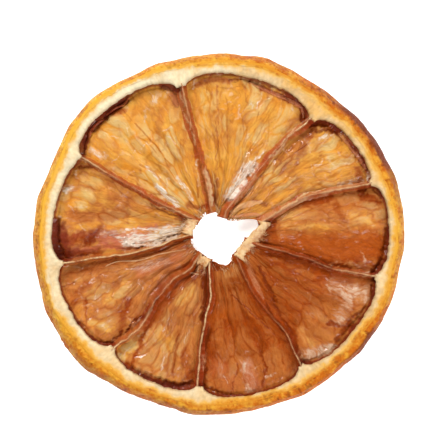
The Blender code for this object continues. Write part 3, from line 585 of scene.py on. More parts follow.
class PulpWedge:
    """The pulp between a wall and the next: where a place lies in it, and its skin there."""

    def __init__(self, number):
        self.number = number
        self.looks = WEDGES[number]
        self.middle = 0.5 * float(wall_bearing(number, 14.0) + wall_bearing(number + 1, 14.0))
        self.shares = np.linspace(0.0, 1.0, 61)
        self.hole_line = self.meet_hole(self.shares, self.feet)
        self.veins = self.grow_veins() + self.short_lines(HAIRS, 131)
        # The glints are short pale lines painted as highlights
        self.glints = self.short_lines(GLINTS, 231)

    def walls(self, radius):
        """The bearings of the two walls' middles."""
        return wall_bearing(self.number, radius), wall_bearing(self.number + 1, radius)

    def feet(self, radius):
        """The bearings of the two walls' feet, between which the pulp shows."""
        first, last = self.walls(radius)
        first = first + np.degrees(skirt(self.number, 1, radius) / radius)
        last = last - np.degrees(skirt(self.number + 1, 0, radius) / radius)
        return first, np.maximum(last, first + 0.5)

    def meet_hole(self, share, sides):
        """The radius at which lines across the wedge meet the torn edge, found by stepping towards it."""
        radius = np.full(share.shape, max(HOLE_RADIUS))
        for _ in range(12):
            radius = around(HOLE_RADIUS, blend(*sides(radius), share))
        return radius

    def pith(self, across):
        """Where the pulp ends at the pith, with the wedge's two outer corners rounded off."""
        roots = [WALLS[number % len(WALLS)]["root"] for number in (self.number, self.number + 1)]
        plain = blend(*self.looks["pith"], across)
        radius = plain
        for side, corner in ((across, roots[0]), (1.0 - across, roots[1])):
            toward = held(1.0 - side / CORNER_SPAN)
            radius = radius - (radius - corner) * (1.0 - np.sqrt(1.0 - toward * toward))
        return radius

    def place(self, x, y):
        """How far across and along the wedge a place lies, and its radius."""
        radius = np.hypot(x, y)
        degrees = self.middle + np.mod(np.degrees(np.arctan2(y, x)) - self.middle + 180.0, 360.0) - 180.0
        first, last = self.feet(radius)
        across = held((degrees - first) / (last - first))
        inner = np.interp(across, self.shares, self.hole_line) + self.looks["core"] + PITH_SOFT_EDGE
        along = held((radius - inner) / (self.pith(across) - inner))
        return across, along, radius

    def fold(self, across, along):
        """The pulp's broad folds, from -1 to 1. They run along the wedge and fade at its sides."""
        shift = self.looks["shift"]
        drift = 0.25 * np.sin(3.0 * along + 2.0 * shift)
        wave = np.sin(2.0 * np.pi * (self.looks["folds"] * (across + drift * 0.3) + shift))
        ripple = 0.35 * np.sin(9.0 * along + 5.0 * across + 7.0 * shift)
        return (wave + ripple) * np.sin(np.pi * across) ** 0.5 * np.sin(np.pi * along) ** 0.4

    def hollow(self, across, radius):
        """How far the pulp has sunk beside the walls and the pith, and the painted shade where it has come
        away.
        """
        side = 1.0 - ease(np.minimum(across, 1.0 - across) / PULP_SIDE_SPAN)
        knotted = 0.45 + 0.9 * layered(across * 30.0, 3.0 * self.number, 53, 2)
        gap = between(self.looks["gaps"], across) * blend(1.0, knotted, 0.6)
        to_pith = self.pith(across) - radius
        drawn_back = 1.0 - ease((to_pith - 0.6 * gap) / GAP_REACH)
        climb = PULP_CLIMB * held(1.0 - gap / 0.8) * (1.0 - ease(to_pith / 1.2))
        sunk = np.maximum(PULP_SIDE_SINK * side, blend(*GAP_SINK, gap) * drawn_back) - climb
        # Painted shade: shaded_crack only colours the pulp darker where it has come away from the pith, with
        # some real browning
        shaded_crack = 1.0 - ease((to_pith - 0.45 * knotted * np.maximum(gap - 0.35, 0.0)) / 0.24)
        return sunk, side, shaded_crack

    def grow_veins(self):
        """Thin dark lines between the juice sacs: their width, strength and path."""
        rng = np.random.default_rng(31 + self.number)
        veins = []
        for _ in range(VEINS):
            start = (rng.uniform(0.03, 0.97), rng.uniform(3.5, 19.0))
            self.wander(rng, veins, start, 0.0, rng.uniform(3.0, 9.0), rng.uniform(0.08, 0.22))
        return veins

    def short_lines(self, count, seed):
        """Short bent lines all over the wedge: their width, strength and path."""
        rng = np.random.default_rng(seed + self.number)
        lines = []
        for _ in range(count):
            across, radius = rng.uniform(0.02, 0.98), 23.0 - abs(rng.normal(0.0, 6.0))
            x, y, _ = polar(radius, blend(*self.feet(radius), across), 0.0)
            turn, length = np.radians(rng.uniform(0.0, 360.0)), rng.uniform(0.3, 1.0)
            step = (length * math.cos(turn), length * math.sin(turn))
            bend = rng.normal(0.0, 0.2, 2)
            path = ((x - step[0], y - step[1]), (x + bend[0], y + bend[1]), (x + step[0], y + step[1]))
            lines.append((rng.uniform(0.08, 0.18), rng.uniform(0.2, 0.6), path))
        return lines

    def wander(self, rng, veins, start, drift, length, width):
        """Add a line that wanders outward from a place in the wedge and may fork."""
        across, radius = start
        path = []
        for _ in range(max(int(length / 0.7), 3)):
            first, last = self.feet(radius)
            path.append(tuple(polar(radius, blend(first, last, across), 0.0)[:2]))
            drift = 0.8 * drift + rng.normal(0.0, 0.16)
            across = min(max(across + 0.7 * drift / (radius * math.radians(last - first)), 0.01), 0.99)
            radius += 0.7
            if rng.random() < 0.09 and length > 2.5:
                turned = drift + rng.choice((-0.5, 0.5))
                self.wander(rng, veins, (across, radius), turned, 0.5 * length, 0.8 * width)
        veins.append((width, 0.3 + 0.7 * rng.random() ** 1.7, path))

    def drawn(self, x, y, lines):
        """How strongly thin lines cover each place."""
        found = np.zeros(x.shape)
        for width, strength, path in lines:
            (x_low, y_low), (x_high, y_high) = np.min(path, axis=0) - 0.3, np.max(path, axis=0) + 0.3
            close = (x > x_low) & (x < x_high) & (y > y_low) & (y < y_high)
            if close.any():
                cover = strength * ease(1.5 - path_distance(x[close], y[close], path) / width)
                found[close] = np.maximum(found[close], cover)
        return found * ease((layered(x * 0.9, y * 0.9, 45) - 0.22) / 0.3)

    def skin(self, x, y, sac_depth=FILM_SAC_DEPTH):
        """The pulp's upper and lower skin at each place, and the masks that colour it."""
        looks, seed = self.looks, 100 + 10 * self.number
        across, along, radius = self.place(x, y)
        sunk, side, shaded_crack = self.hollow(across, radius)
        fold = self.fold(across, along)
        marks = strokes(x, y, MARKS[looks["name"]], PULP_MARKS)
        browned = between(looks["age"], along)
        vein = self.drawn(x, y, self.veins) * (1.0 - 0.7 * browned)
        bent = 0.35 * (noise(x * 2.3, y * 2.3, 57) - 0.5)
        glint = self.drawn(x + bent, y - bent, self.glints)
        bend_x = 2.0 * layered(x * 0.36, y * 0.36, seed) - 1.0
        bend_y = 2.0 * layered(x * 0.36, y * 0.36, seed + 5) - 1.0
        lane = across * looks["sacs"] + 0.55 * bend_x
        reach = radius / 4.4 + 0.5 * bend_y
        inside, _, own = cells(lane, reach, seed + 11)
        small_inside, _, small_own = cells(lane * 2.1 + 0.6 * bend_y, reach * 1.7, seed + 15)
        shown = ease((layered(x * 0.7, y * 0.7, seed + 17) - 0.3) / 0.3)
        seam = (1.0 - ease(inside / 0.2)) * shown
        small_seam = (1.0 - ease(small_inside / 0.22)) * ease((small_own - 0.25) / 0.5)
        small_seam = small_seam * (1.0 - 0.6 * shown)
        swell = layered(x * 0.75 + 2.0 * bend_x, y * 0.75, seed + 19, 2) - 0.5
        wrinkle = layered(lane * 2.6 + 1.3 * bend_y, reach * 1.6, seed + 21) - 0.5
        crumple = layered(lane * 5.0 + 2.0 * bend_y, reach * 5.0, seed + 23, 2) - 0.5
        patch = ease((layered(x * 0.5, y * 0.5, seed + 27) - 0.5) / 0.15)
        thread = creases(lane * 2.2 + 0.8 * bend_x, reach * 0.5, seed + 29)
        raised = sac_depth * (ease(inside / 0.5) - 0.7) * (0.5 + 0.8 * own) - 0.3 * sac_depth * small_seam
        creased = 0.3 + 1.1 * patch + 0.9 * browned + 2.0 * np.minimum(marks["pale"], 0.6)
        raised = raised + sac_depth * (0.6 * swell + 0.7 * wrinkle + creased * crumple)
        raised = raised * (1.0 - 0.4 * side) - 0.025 * vein + 0.03 * glint
        raised = raised - 0.22 * marks["pit_and_shadow"] + 0.04 * marks["pale"] - 0.06 * marks["brown"]
        raised = raised + 0.4 * ease((marks["pale"] - 0.8) / 0.3)
        body = PULP_TOP + looks["lift"] + FOLD_HEIGHT * fold - sunk
        torn = 1.0 - ease((radius - np.interp(across, self.shares, self.hole_line)) / 1.6)
        thickness = PULP_THICKNESS + 0.25 * FOLD_HEIGHT * fold - 0.3 * sunk
        lower = body - thickness * (1.0 - 0.55 * torn * (looks["core"] == 0.0)) + 0.45 * raised
        age = browned + 0.3 * (layered(x * 0.45, y * 0.45, seed + 31) - 0.5)
        # Painted shade: besides the real browning, age grows beside the walls (side), in shaded_crack and in
        # deep sunk hollows
        age = age + 0.14 * (own - 0.5) + 0.06 * (small_own - 0.5) + 0.14 * side + 0.1 * wrinkle
        deep = ease((sunk - 0.3) / 0.15) * (1.0 - side)
        age = age + 0.16 * seam + 0.08 * small_seam + 0.35 * shaded_crack + 0.12 * torn + 0.45 * deep
        age = age + 0.75 * marks["brown"] + 0.4 * marks["pit_and_shadow"] - 0.5 * marks["fresh"]
        aged = held(age)
        # burn_and_shade: real burns of pits, brown marks and sac seams, plus painted shade in the shadow of
        # pits, in shaded_crack and in deep sunk hollows
        burn_and_shade = 0.6 * marks["pit_and_shadow"] + 0.25 * marks["brown"] * layered(x * 1.3, y * 1.3, seed + 35)
        burn_and_shade = burn_and_shade + 0.16 * seam * (0.3 + aged) + 0.06 * small_seam + 0.4 * shaded_crack + 0.15 * deep
        # Painted highlights: pale marks hold glare on glossy film as well as pale film, and are lightened on
        # the crumpled ridges; the glints add painted highlight lines
        pale = marks["pale"] * (0.65 + 0.7 * ease((crumple + 0.1) / 0.2))
        pale = np.maximum(pale + 0.25 * thread * shown * (1.0 - 0.6 * aged), glint * (1.0 - 0.6 * browned))
        glassy = ease((layered(x * 0.32, y * 0.32, seed + 33) - 0.3) / 0.3)
        pane = ease((own - 0.35) / 0.3) * ease((inside - 0.08) / 0.3) * (0.25 + 0.75 * glassy)
        pane = np.maximum(pane, marks["fresh"] * ease((inside - 0.05) / 0.25)) * (1.0 - aged) ** 1.5
        tone = 0.5 + 0.5 * (layered(x * 1.4, y * 1.4, seed + 41) - 0.5) + 0.5 * swell
        flow = [across * 8.5 + 0.5 * bend_x, radius, np.full(x.shape, 5.0 * self.number)]
        masks = {
            "age": aged,
            "burn_and_shade": held(burn_and_shade),
            "pale": held(pale),
            # The plum mask also takes painted shade from shaded_crack and the deep sunk hollows
            "plum": held(marks["plum"] + 0.5 * shaded_crack + 0.25 * deep),
            "blush": held(marks["blush"]),
            "pane": held(pane),
            # glow is painted light coming through thin pulp
            "glow": held(marks["glow"]),
            "vein": vein,
            "tone": held(tone),
            "flow": np.stack(flow, axis=-1),
        }
        return body + raised, lower, masks


PULP = [PulpWedge(number) for number in range(len(WEDGES))]


def find_plan_fit():
    """How far the traced outline lies off the solid's middle, and its scale to the solid's width."""
    degrees = np.arange(0.0, 360.0, 0.25)
    turn, radius = np.radians(degrees), rim_radius(degrees)
    xs, ys = radius * np.cos(turn), radius * np.sin(turn)
    low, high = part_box(NODE)
    middle = ((xs.max() + xs.min()) / 2.0, (ys.max() + ys.min()) / 2.0)
    return middle, (high[0] - low[0]) / MM / (xs.max() - xs.min())


PLAN_MIDDLE, PLAN_SCALE = find_plan_fit()


def grid_faces(index, wrap_rows=False, wrap_columns=False):
    """The quads between neighbouring points of a grid of point numbers."""
    if wrap_rows:
        index = np.vstack([index, index[:1]])
    if wrap_columns:
        index = np.hstack([index, index[:, :1]])
    corners = (index[:-1, :-1], index[1:, :-1], index[1:, 1:], index[:-1, 1:])
    return np.stack(corners, axis=-1).reshape(-1, 4).tolist()


def new_piece(name, form, material):
    """A mesh from points in millimetres, faces and masks, kept inside the solid's box and dressed."""
    points, faces, masks = form
    old = bpy.data.objects.get(name)
    if old:
        bpy.data.objects.remove(old)
    flat = points.reshape(-1, 3).copy()
    flat[:, :2] = (flat[:, :2] - np.asarray(PLAN_MIDDLE)) * PLAN_SCALE
    low, high = (np.asarray(corner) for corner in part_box(NODE))
    flat = np.clip(flat * MM, low, high)
    mesh = bpy.data.meshes.new(name)
    mesh.from_pydata(flat.tolist(), [], faces)
    for mask, values in masks.items():
        kind, field = ("FLOAT_VECTOR", "vector") if mask == "flow" else ("FLOAT", "value")
        layer = mesh.attributes.new(mask, kind, "POINT")
        layer.data.foreach_set(field, np.ascontiguousarray(values, dtype=np.float32).ravel())
    shape = bmesh.new()
    shape.from_mesh(mesh)
    bmesh.ops.recalc_face_normals(shape, faces=shape.faces[:])
    shape.to_mesh(mesh)
    shape.free()
    mesh.shade_smooth()
    mesh.materials.append(material)
    piece = bpy.data.objects.new(name, mesh)
    bpy.context.scene.collection.objects.link(piece)
    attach(piece, BODY)
    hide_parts(NODE)
    return piece


def pulp_sheet(wedge, depth):
    """One wedge's pulp as a closed sheet, from wall to wall and from the torn edge to under the pith."""
    steps_across, steps_along = PULP_STEPS
    share = np.linspace(0.0, 1.0, 2 * steps_across + 1)
    start = wedge.meet_hole(share, wedge.walls) + 0.55 * wedge.looks["core"]
    start = start + 0.28 * (layered(share * 9.0, wedge.number, 51) - 0.35) * (wedge.looks["core"] == 0.0)
    end = np.full(share.shape, 23.5)
    for _ in range(4):
        first, last = wedge.feet(end)
        across = held((blend(*wedge.walls(end), share) - first) / (last - first))
        end = wedge.pith(across)
    rows = np.linspace(0.0, 1.0, 2 * steps_along + 1)[:, None]
    radius = blend(start[None, :], end[None, :] + 0.45, rows)
    top = polar(radius, blend(*wedge.walls(radius), share[None, :]), 0.0)
    upper, lower, masks = wedge.skin(top[..., 0], top[..., 1], depth)
    bottom = top[::2, ::2].copy()
    top[..., 2] = upper
    bottom[..., 2] = lower[::2, ::2]
    fine = np.arange(top[..., 0].size).reshape(top.shape[:2])
    coarse = fine.size + np.arange(bottom[..., 0].size).reshape(bottom.shape[:2])
    faces = grid_faces(fine) + grid_faces(coarse)
    outer, inner = grid_edge(fine), grid_edge(coarse)
    for place, corner in enumerate(inner):
        near = [outer[(2 * place + step) % len(outer)] for step in range(3)]
        faces.append([*near, inner[(place + 1) % len(inner)], corner])
    points = np.concatenate([top.reshape(-1, 3), bottom.reshape(-1, 3)])
    both = {}
    for name, values in masks.items():
        halves = [part.reshape(-1, *values.shape[2:]) for part in (values, values[::2, ::2])]
        both[name] = np.concatenate(halves)
    return points, faces, both


def grid_edge(index):
    """The point numbers once round a grid."""
    return [*index[0], *index[1:, -1], *index[-1, -2::-1], *index[-2:0:-1, 0]]


def tube(rings, masks):
    """A closed tube from rings of points, its ends filled."""
    index = np.arange(rings.shape[0] * rings.shape[1]).reshape(rings.shape[:2])
    faces = grid_faces(index, wrap_columns=True)
    faces.append(index[0].tolist())
    faces.append(index[-1, ::-1].tolist())
    return rings, faces, masks


def wall_tube(number):
    """A wall between two wedges: a torn crest whose films spread down over the pulp on both sides."""
    wall = WALLS[number]
    tip = float(around(HOLE_RADIUS, wall["bearings"][0]))
    root = wall["root"]
    core = max(WEDGES[number]["core"], WEDGES[number - 1]["core"])
    radius = np.linspace(tip - 0.15, root + 0.7, WALL_ROWS)[:, None]
    along = held((radius - tip - core - PITH_SOFT_EDGE) / (root - tip - core - PITH_SOFT_EDGE))
    middle = wall_bearing(number, radius)
    middle = middle + np.degrees(0.16 * (layered(radius / 0.7, 6.1 * number, 62) - 0.5) / radius)
    crest = wall_height(WALL_TOP, along) + 0.24 * (layered(radius / 1.6, 3.1 * number, 63) - 0.5)
    crest = crest - 0.14 * ease((noise(radius / 0.8, 5.7 * number, 64) - 0.75) / 0.15)
    if core:
        crest = crest - 0.5 * (1.0 - ease((radius - tip - 0.4 * core) / (0.7 * core)))
    keel = wall_height(WALL_UNDERSIDE, along) + 0.12 * layered(radius / 1.1, 4.3 * number, 65)
    steps = np.linspace(0.0, 1.0, 10)[None, :] ** 1.25
    uppers, lowers = [], []
    for side, wedge, toward in ((1, PULP[number - 1], -1.0), (0, PULP[number], 1.0)):
        spread = 0.5 + 0.9 * layered(radius / 2.2, number + 5.0 * side, 66)
        reach = 0.75 * spread * skirt(number, 1 - side, radius) + 0.2
        reach = reach + 0.3 * layered(radius / 1.2, number + 9.0 * side, 67)
        offset = toward * blend(0.07, reach, steps)
        spot = polar(radius, middle + np.degrees(offset / radius), 0.0)
        upper, lower, masks = wedge.skin(spot[..., 0], spot[..., 1])
        foot = upper + 0.06 - 0.16 * steps**3
        drop = (1.0 - steps) ** 2.8 * (0.75 + 0.5 * layered(radius / 1.3 + 0.6 * steps, 2.0 * number, 69))
        crumple = 0.1 * (layered(radius / 0.45, steps * 3.0 + number, 71) - 0.5) * np.sin(np.pi * steps)
        spot[..., 2] = foot + np.maximum(crest - foot, 0.1) * held(drop) + crumple
        uppers.append((spot, masks, steps + 0.0 * radius))
        under = spot[:, ::3].copy()
        ceiling = lower[:, ::3] - 0.04
        under[..., 2] = blend(ceiling, np.minimum(keel, ceiling), (1.0 - steps[:, ::3]) ** 2.0)
        thinned = {name: values[:, ::3] for name, values in masks.items()}
        lowers.append((under, thinned, steps[:, ::3] + 0.0 * radius))
    sections = [uppers[1], flipped(lowers[1]), lowers[0], flipped(uppers[0])]
    rings = np.concatenate([section[0] for section in sections], axis=1)
    share = np.concatenate([section[2] for section in sections], axis=1)
    masks = {}
    for name in uppers[0][1]:
        masks[name] = np.concatenate([section[1][name] for section in sections], axis=1)
    ragged = layered(radius / 0.5, share * 2.0 + 3.0 * number, 73)
    length = held((radius - tip) / (root - tip))
    creamy = between(wall["cream"], length) * (0.55 + 0.75 * layered(radius / 1.4, 1.7 * number, 75))
    masks["cream"] = held(creamy * ease((0.14 + 0.3 * (ragged - 0.5) - share) / 0.14))
    wide = 0.2 + 0.9 * layered(radius / 1.3, 2.9 * number + 2.0 * (share > 0.0), 79)
    masks["film"] = between(wall["film"], length) * (1.0 - ease((share - wide) / 0.35))
    flat = (rings[..., 0], rings[..., 1])
    marks = strokes(*flat, WALL_MARKS.get(number, ()), FILM_MARKS)
    masks["cream"] = np.maximum(masks["cream"], marks["cream"] * (0.4 + 0.8 * ragged))
    masks["pink"] = held(marks["pink"])
    # Painted shade: dark marks darken the walls' sides and take the film away there
    masks["burn_and_shade"] = held(masks["burn_and_shade"] + 0.8 * marks["dark"])
    masks["film"] = held(np.maximum(masks["film"], masks["pink"]) - 0.5 * marks["dark"])
    masks["film"] = masks["film"] * (1.0 - 0.7 * marks["plum"])
    masks["film"] = masks["film"] * (1.0 - 0.9 * masks["pale"] * ease(share / 0.3))
    masks["plum"] = np.maximum(masks["plum"], marks["plum"])
    return tube(rings, masks)


def flipped(section):
    """A section run the other way."""
    points, masks, share = section
    return points[:, ::-1], {name: values[:, ::-1] for name, values in masks.items()}, share[:, ::-1]


def wall_height(heights, along):
    """A wall's height along its length, lowest about half way."""
    tip, middle, root = heights
    inner = blend(tip, middle, ease(along / 0.5))
    outer = blend(middle, root, ease((along - 0.5) / 0.5) ** 1.6)
    return np.where(along < 0.5, inner, outer)


def core_tube(strip):
    """A strip of core between the hole and one or two wedges: a fibrous web that flares into the walls."""
    crossed = [*strip["wedges"], strip["wedges"][-1] + 1]
    tips = []
    for number in crossed:
        turns, index = divmod(number, len(WALLS))
        tips.append(360.0 * turns + WALLS[index]["bearings"][0])
    start, end = tips[0] - 3.0, tips[-1] + 3.0
    rows = int((end - start) * 3.0)
    degrees = np.linspace(start, end, rows)[:, None]
    flare = sum(np.exp(-(((degrees - tip) / 6.0) ** 2)) for tip in tips)
    width = strip["width"] * (1.0 + 0.35 * (layered(degrees / 9.0, crossed[0], 81) - 0.5)) + 0.45 * flare
    width = width * blend(0.08, 1.0, ease(np.minimum(degrees - start, end - degrees) / 9.0))
    ragged = layered(degrees / 3.0, crossed[0] + 2.0, 83, 4)
    hole = around(HOLE_RADIUS, degrees) + 0.5 * (ragged - 0.55)
    turn = np.linspace(0.0, 2.0 * np.pi, 48, endpoint=False)[None, :]
    outward = 0.5 - 0.5 * np.sign(np.cos(turn)) * np.abs(np.cos(turn)) ** 0.7
    upward = np.sign(np.sin(turn)) * np.abs(np.sin(turn)) ** 0.4
    radius = hole + width * outward
    rise = CORE_TOP - 0.4 - 0.5 * outward + 0.2 * held(flare) * outward
    middle = 0.5 * (CORE_TOP + CORE_UNDERSIDE)
    height = np.where(upward > 0.0, blend(middle, rise, upward), blend(middle, CORE_UNDERSIDE, -upward))
    strands = layered(radius * 3.4, degrees / 9.0, 85, 4) - 0.5
    height = height + np.maximum(upward, 0.0) * 0.2 * strands
    radius = radius + 0.14 * (layered(height * 3.0, degrees / 4.0, 87) - 0.5)
    cream = strip["cream"] * (0.1 + 1.5 * layered(radius * 3.4, degrees / 4.0, 89, 4)) - 0.35 * outward**2
    plain = 0.0 * radius
    masks = {
        "age": held(0.2 + 0.9 * (layered(degrees / 7.0, radius, 91) - 0.35) + 0.2 * outward),
        "burn_and_shade": held(0.35 * ease((outward - 0.6) / 0.4) + 0.5 * (ragged < 0.33)),
        **dict.fromkeys(("pale", "plum", "glow", "vein", "pane", "blush"), plain),
        "tone": layered(degrees / 3.0, radius * 2.0, 95) + plain,
        "flow": np.stack([radius * 2.4, degrees * 0.035 + plain, height], axis=-1),
        "cream": held(cream), "film": 0.2 * outward + plain,
    }
    return tube(polar(radius, degrees, height), masks)


def smooth_line(points, count):
    """Evenly spaced places along a smooth line through given points, and the directions there."""
    table = np.asarray(points, dtype=float)
    share = np.linspace(0.0, 1.0, count)
    line = np.stack([between(table[:, axis], share) for axis in (0, 1)], axis=-1)
    heading = np.gradient(line, axis=0)
    heading = heading / np.maximum(np.linalg.norm(heading, axis=1, keepdims=True), 1e-6)
    return line, heading


def ribbon_tube(ribbon, number):
    """A fold, film or torn strip that lies on the pulp."""
    wedge = PULP[ribbon["wedge"]]
    points = ribbon["line"]
    length = sum(math.dist(start, end) for start, end in zip(points[:-1], points[1:], strict=True))
    rows = max(int(length * 9.0), 24)
    line, heading = smooth_line(points, rows)
    share = np.linspace(0.0, 1.0, rows)[:, None]
    taper = np.sqrt(held(np.sin(np.pi * blend(0.06, 0.94, share))))
    width = ribbon["width"] * taper * (0.7 + 0.6 * layered(share * length / 1.1, number, 121))
    turn = np.linspace(0.0, 2.0 * np.pi, 16, endpoint=False)[None, :]
    offset = 0.5 * width * np.cos(turn)
    sway = 0.2 * ribbon["width"] * (layered(share * length / 0.9, number + 0.5, 123) - 0.5)
    x = line[:, :1] - heading[:, 1:] * (offset + sway)
    y = line[:, 1:] + heading[:, :1] * (offset + sway)
    upper, _, masks = wedge.skin(x, y)
    lift = np.maximum(np.sin(turn), 0.0) ** 0.6 * ribbon["rise"] * taper
    lift = lift * (0.6 + 0.8 * layered(share * length / 0.6, number + np.cos(turn), 125))
    height = upper + lift - 0.25 * np.maximum(-np.sin(turn), 0.0) - 0.02
    ridge = held(np.sin(turn) + 0.35) + 0.0 * share
    frayed = 0.6 + 0.7 * layered(share * length / 0.5, number, 127)
    masks["cream"] = held(ribbon["cream"] * ridge * frayed)
    masks["film"] = ribbon["film"] * (0.6 + 0.4 * ridge)
    masks["pink"] = 1.6 * ribbon["pink"] * layered(share * length / 0.7, number + 0.0 * turn, 129)
    return tube(np.stack([x, y, height], axis=-1), masks)


def fibre_tubes(count):
    """Frayed threads that stand off the torn edge and cling to the pulp near it, joined as one mesh."""
    rng = np.random.default_rng(4)
    all_points, all_faces, all_masks, offset = [], [], [], 0
    for _ in range(count):
        wedge = PULP[rng.integers(len(PULP))]
        across = rng.uniform(0.02, 0.98)
        start = np.interp(across, wedge.shares, wedge.hole_line) + rng.uniform(-0.3, 0.7)
        start += 0.9 * wedge.looks["core"]
        length = rng.uniform(0.3, 1.1)
        share = np.linspace(0.0, 1.0, 9)[:, None]
        radius = start + length * share * rng.uniform(0.5, 1.0)
        degrees = blend(*wedge.feet(radius), across)
        swing = rng.normal(0.0, 9.0)
        degrees = degrees + swing * share * length / start + 1.0 * np.sin(4.0 * share + swing)
        centre = polar(radius, degrees, 0.0)
        upper, _, masks = wedge.skin(centre[..., 0], centre[..., 1])
        turn = np.linspace(0.0, 2.0 * np.pi, 5, endpoint=False)[None, :]
        thin = rng.uniform(0.04, 0.08) * (1.0 - 0.6 * share)
        x = centre[..., 0] + thin * np.cos(turn)
        y = centre[..., 1] + thin * np.sin(turn) * 0.7
        height = upper + 0.02 + thin * np.sin(turn) + rng.uniform(0.0, 0.15) * np.sin(np.pi * share)
        ring_masks = {name: np.repeat(values, 5, axis=1) for name, values in masks.items()}
        ring_masks["cream"] = np.full(x.shape, rng.uniform(0.0, 0.7))
        ring_masks["film"] = np.full(x.shape, rng.uniform(0.2, 0.8))
        rings, faces, ring_masks = tube(np.stack([x, y, height], axis=-1), ring_masks)
        all_points.append(rings.reshape(-1, 3))
        all_faces += [[number + offset for number in face] for face in faces]
        all_masks.append(ring_masks)
        offset += x.size
    masks = {}
    for name in all_masks[0]:
        shape = (-1, 3) if name == "flow" else (-1,)
        masks[name] = np.concatenate([entry[name].reshape(shape) for entry in all_masks])
    return np.concatenate(all_points), all_faces, masks


def pith_line(degrees):
    """Where the pith begins at each bearing."""
    found = np.zeros(degrees.shape)
    for wedge in PULP:
        start, end = (float(side) for side in wedge.walls(23.5))
        placed = start + np.mod(degrees - start, 360.0)
        first, last = wedge.feet(23.5)
        across = held((placed - first) / (last - first))
        found = np.where(placed < end, wedge.pith(across), found)
    return found


def near_bearing(degrees, middle, half_width):
    """1 at a bearing, fading to 0 over a half width to both sides."""
    off = np.abs(np.mod(degrees - middle + 180.0, 360.0) - 180.0)
    return 1.0 - ease(off / half_width)


def rind_side(degrees, share):
    """How far the rind's side lies inside the widest line at a share of its height."""
    above = held((share - WALL_BULGE_AT) / (1.0 - WALL_BULGE_AT))
    below = held((WALL_BULGE_AT - share) / WALL_BULGE_AT)
    return peel_lean(degrees) * above**1.7 + BASE_TUCK * below**2


def soften(values, rounds):
    """Values round a section, eased towards their neighbours so that its corners are worn."""
    for _ in range(rounds):
        values = 0.5 * values + 0.25 * (np.roll(values, 1, axis=0) + np.roll(values, -1, axis=0))
    return values


def peel_share(degrees, depth):
    """How far a place on the rind belongs to the peel (1) or the pith (0), feathered like torn fibres."""
    edge = around(PEEL_WIDTH, degrees)
    feather = 0.7 * (layered(degrees / 360.0 * 190.0, depth * 0.8, 171, 2, 190) - 0.5)
    slow = layered(degrees / 360.0 * 80.0, 0.0, 173, 2, 80) - 0.5
    return 1.0 - ease((depth - edge + 0.25 + 0.8 * feather + 0.7 * slow) / 1.2)


def peel_ring(pore_depth):
    """The peel: from under the pith's edge, over the rim and down to the flat base, with its pores."""
    degrees = np.arange(RIM_COLUMNS)[None, :] * 360.0 / RIM_COLUMNS
    top, lean = rind_top(degrees), peel_lean(degrees)
    edge = np.maximum(around(PEEL_WIDTH, degrees), lean + 0.25) + 0.45
    step = np.linspace(0.0, 1.0, 16)[:, None]
    flat_inset = blend(edge, lean, step)
    flat_height = top - 0.12 * step**2 - 0.12 * (1.0 - ease(step / 0.16))
    share = np.linspace(0.965, 0.02, 24)[:, None]
    side_inset, side_height = rind_side(degrees, share), top * share
    step = np.linspace(0.0, 1.0, 6)[:, None]
    base_inset, base_height = blend(BASE_TUCK + 0.08, PEEL_CAVES_UNDER, step), 0.0 * degrees + 0.0 * step
    back_inset = blend(PEEL_CAVES_UNDER - 0.2, edge + 0.1, step)
    back_height = blend(0.8, top - 0.7, step)
    inset = np.concatenate([flat_inset, side_inset, base_inset + 0.0 * degrees, back_inset])
    height = np.concatenate([flat_height, side_height, base_height, back_height])
    inset, height = soften(inset, 2), soften(height, 2)
    steps = [np.diff(part, axis=0, prepend=part[:1]) for part in (inset, height)]
    path = np.cumsum(np.hypot(*steps), axis=0)
    around_rim = degrees / 360.0 * 264.0
    lumpy = layered(around_rim * 0.25, path * 0.4, 133, 3, 66)
    _, middle, own = cells(around_rim, path * 1.6, 135, 264)
    pore = (1.0 - ease(middle / (0.3 + 0.25 * own))) * (own > 0.25)
    wrinkle = layered(around_rim * 0.5, path * 0.9, 139, 3, 132)
    outside = 1.0 - ease((np.arange(inset.shape[0])[:, None] - 41.0) / 4.0)
    cut = pore_depth * pore * (0.4 + 0.6 * ease(path / 1.2))
    cut = cut + 0.1 * ease((0.5 - lumpy) / 0.3) - 0.08 * wrinkle
    bumpy = sum(strength * near_bearing(degrees, *spot) for *spot, strength in BUMPY_RIM)
    bump = bumpy * (layered(around_rim * 0.9, path * 1.1, 137, 2, 238) - 0.5)
    cut = cut - 0.3 * bump
    inset = inset + outside * cut * ease((path - 0.1) / 1.0)
    height = height + 0.25 * outside * bump * ease(path / 0.8) * (1.0 - ease((path - 2.0) / 1.0))
    height = height - outside * (0.06 * pore + 0.08 * wrinkle) * (1.0 - ease((path - 0.8) / 1.2))
    dark = sum(strength * near_bearing(degrees, *spot) for *spot, strength in DARK_RIM)
    out = 1.0 - ease(inset / (0.75 * edge))
    on_top = (np.arange(inset.shape[0])[:, None] < 16) + 0.0 * inset
    peel = np.where(on_top, peel_share(degrees, inset), 1.0)
    age = around(PEEL_AGE, degrees) + 1.1 * (layered(around_rim * 0.5, path * 0.6, 143, 4, 132) - 0.5)
    age = age + 0.3 * out + 0.25 * pore
    plain = 0.0 * inset
    speck = ease((layered(around_rim * 1.1, path * 1.3, 145, 2, 290) - 0.66) / 0.1)
    # Painted shade on the rim's outer edge where DARK_RIM lies, and real dark specks
    burn_and_shade = dark * ease((out - 0.35) / 0.35) * (0.4 + 0.9 * lumpy) + 0.55 * speck * (age + 0.2)
    masks = {
        "age": held(age),
        "burn_and_shade": held(burn_and_shade),
        "peel": peel,
        "film": held(around(PITH_AGE, degrees) + plain),
        "tone": held(0.5 + 0.8 * (wrinkle - 0.5) - 0.25 * pore + 0.3 * (own - 0.5)),
        "flow": np.stack(np.broadcast_arrays(around_rim * 0.64, path, 0.0), axis=-1),
    }
    index = np.arange(inset.size).reshape(inset.shape)
    points = polar(rim_radius(degrees) - inset, degrees, height)
    return points, grid_faces(index, wrap_rows=True, wrap_columns=True), masks


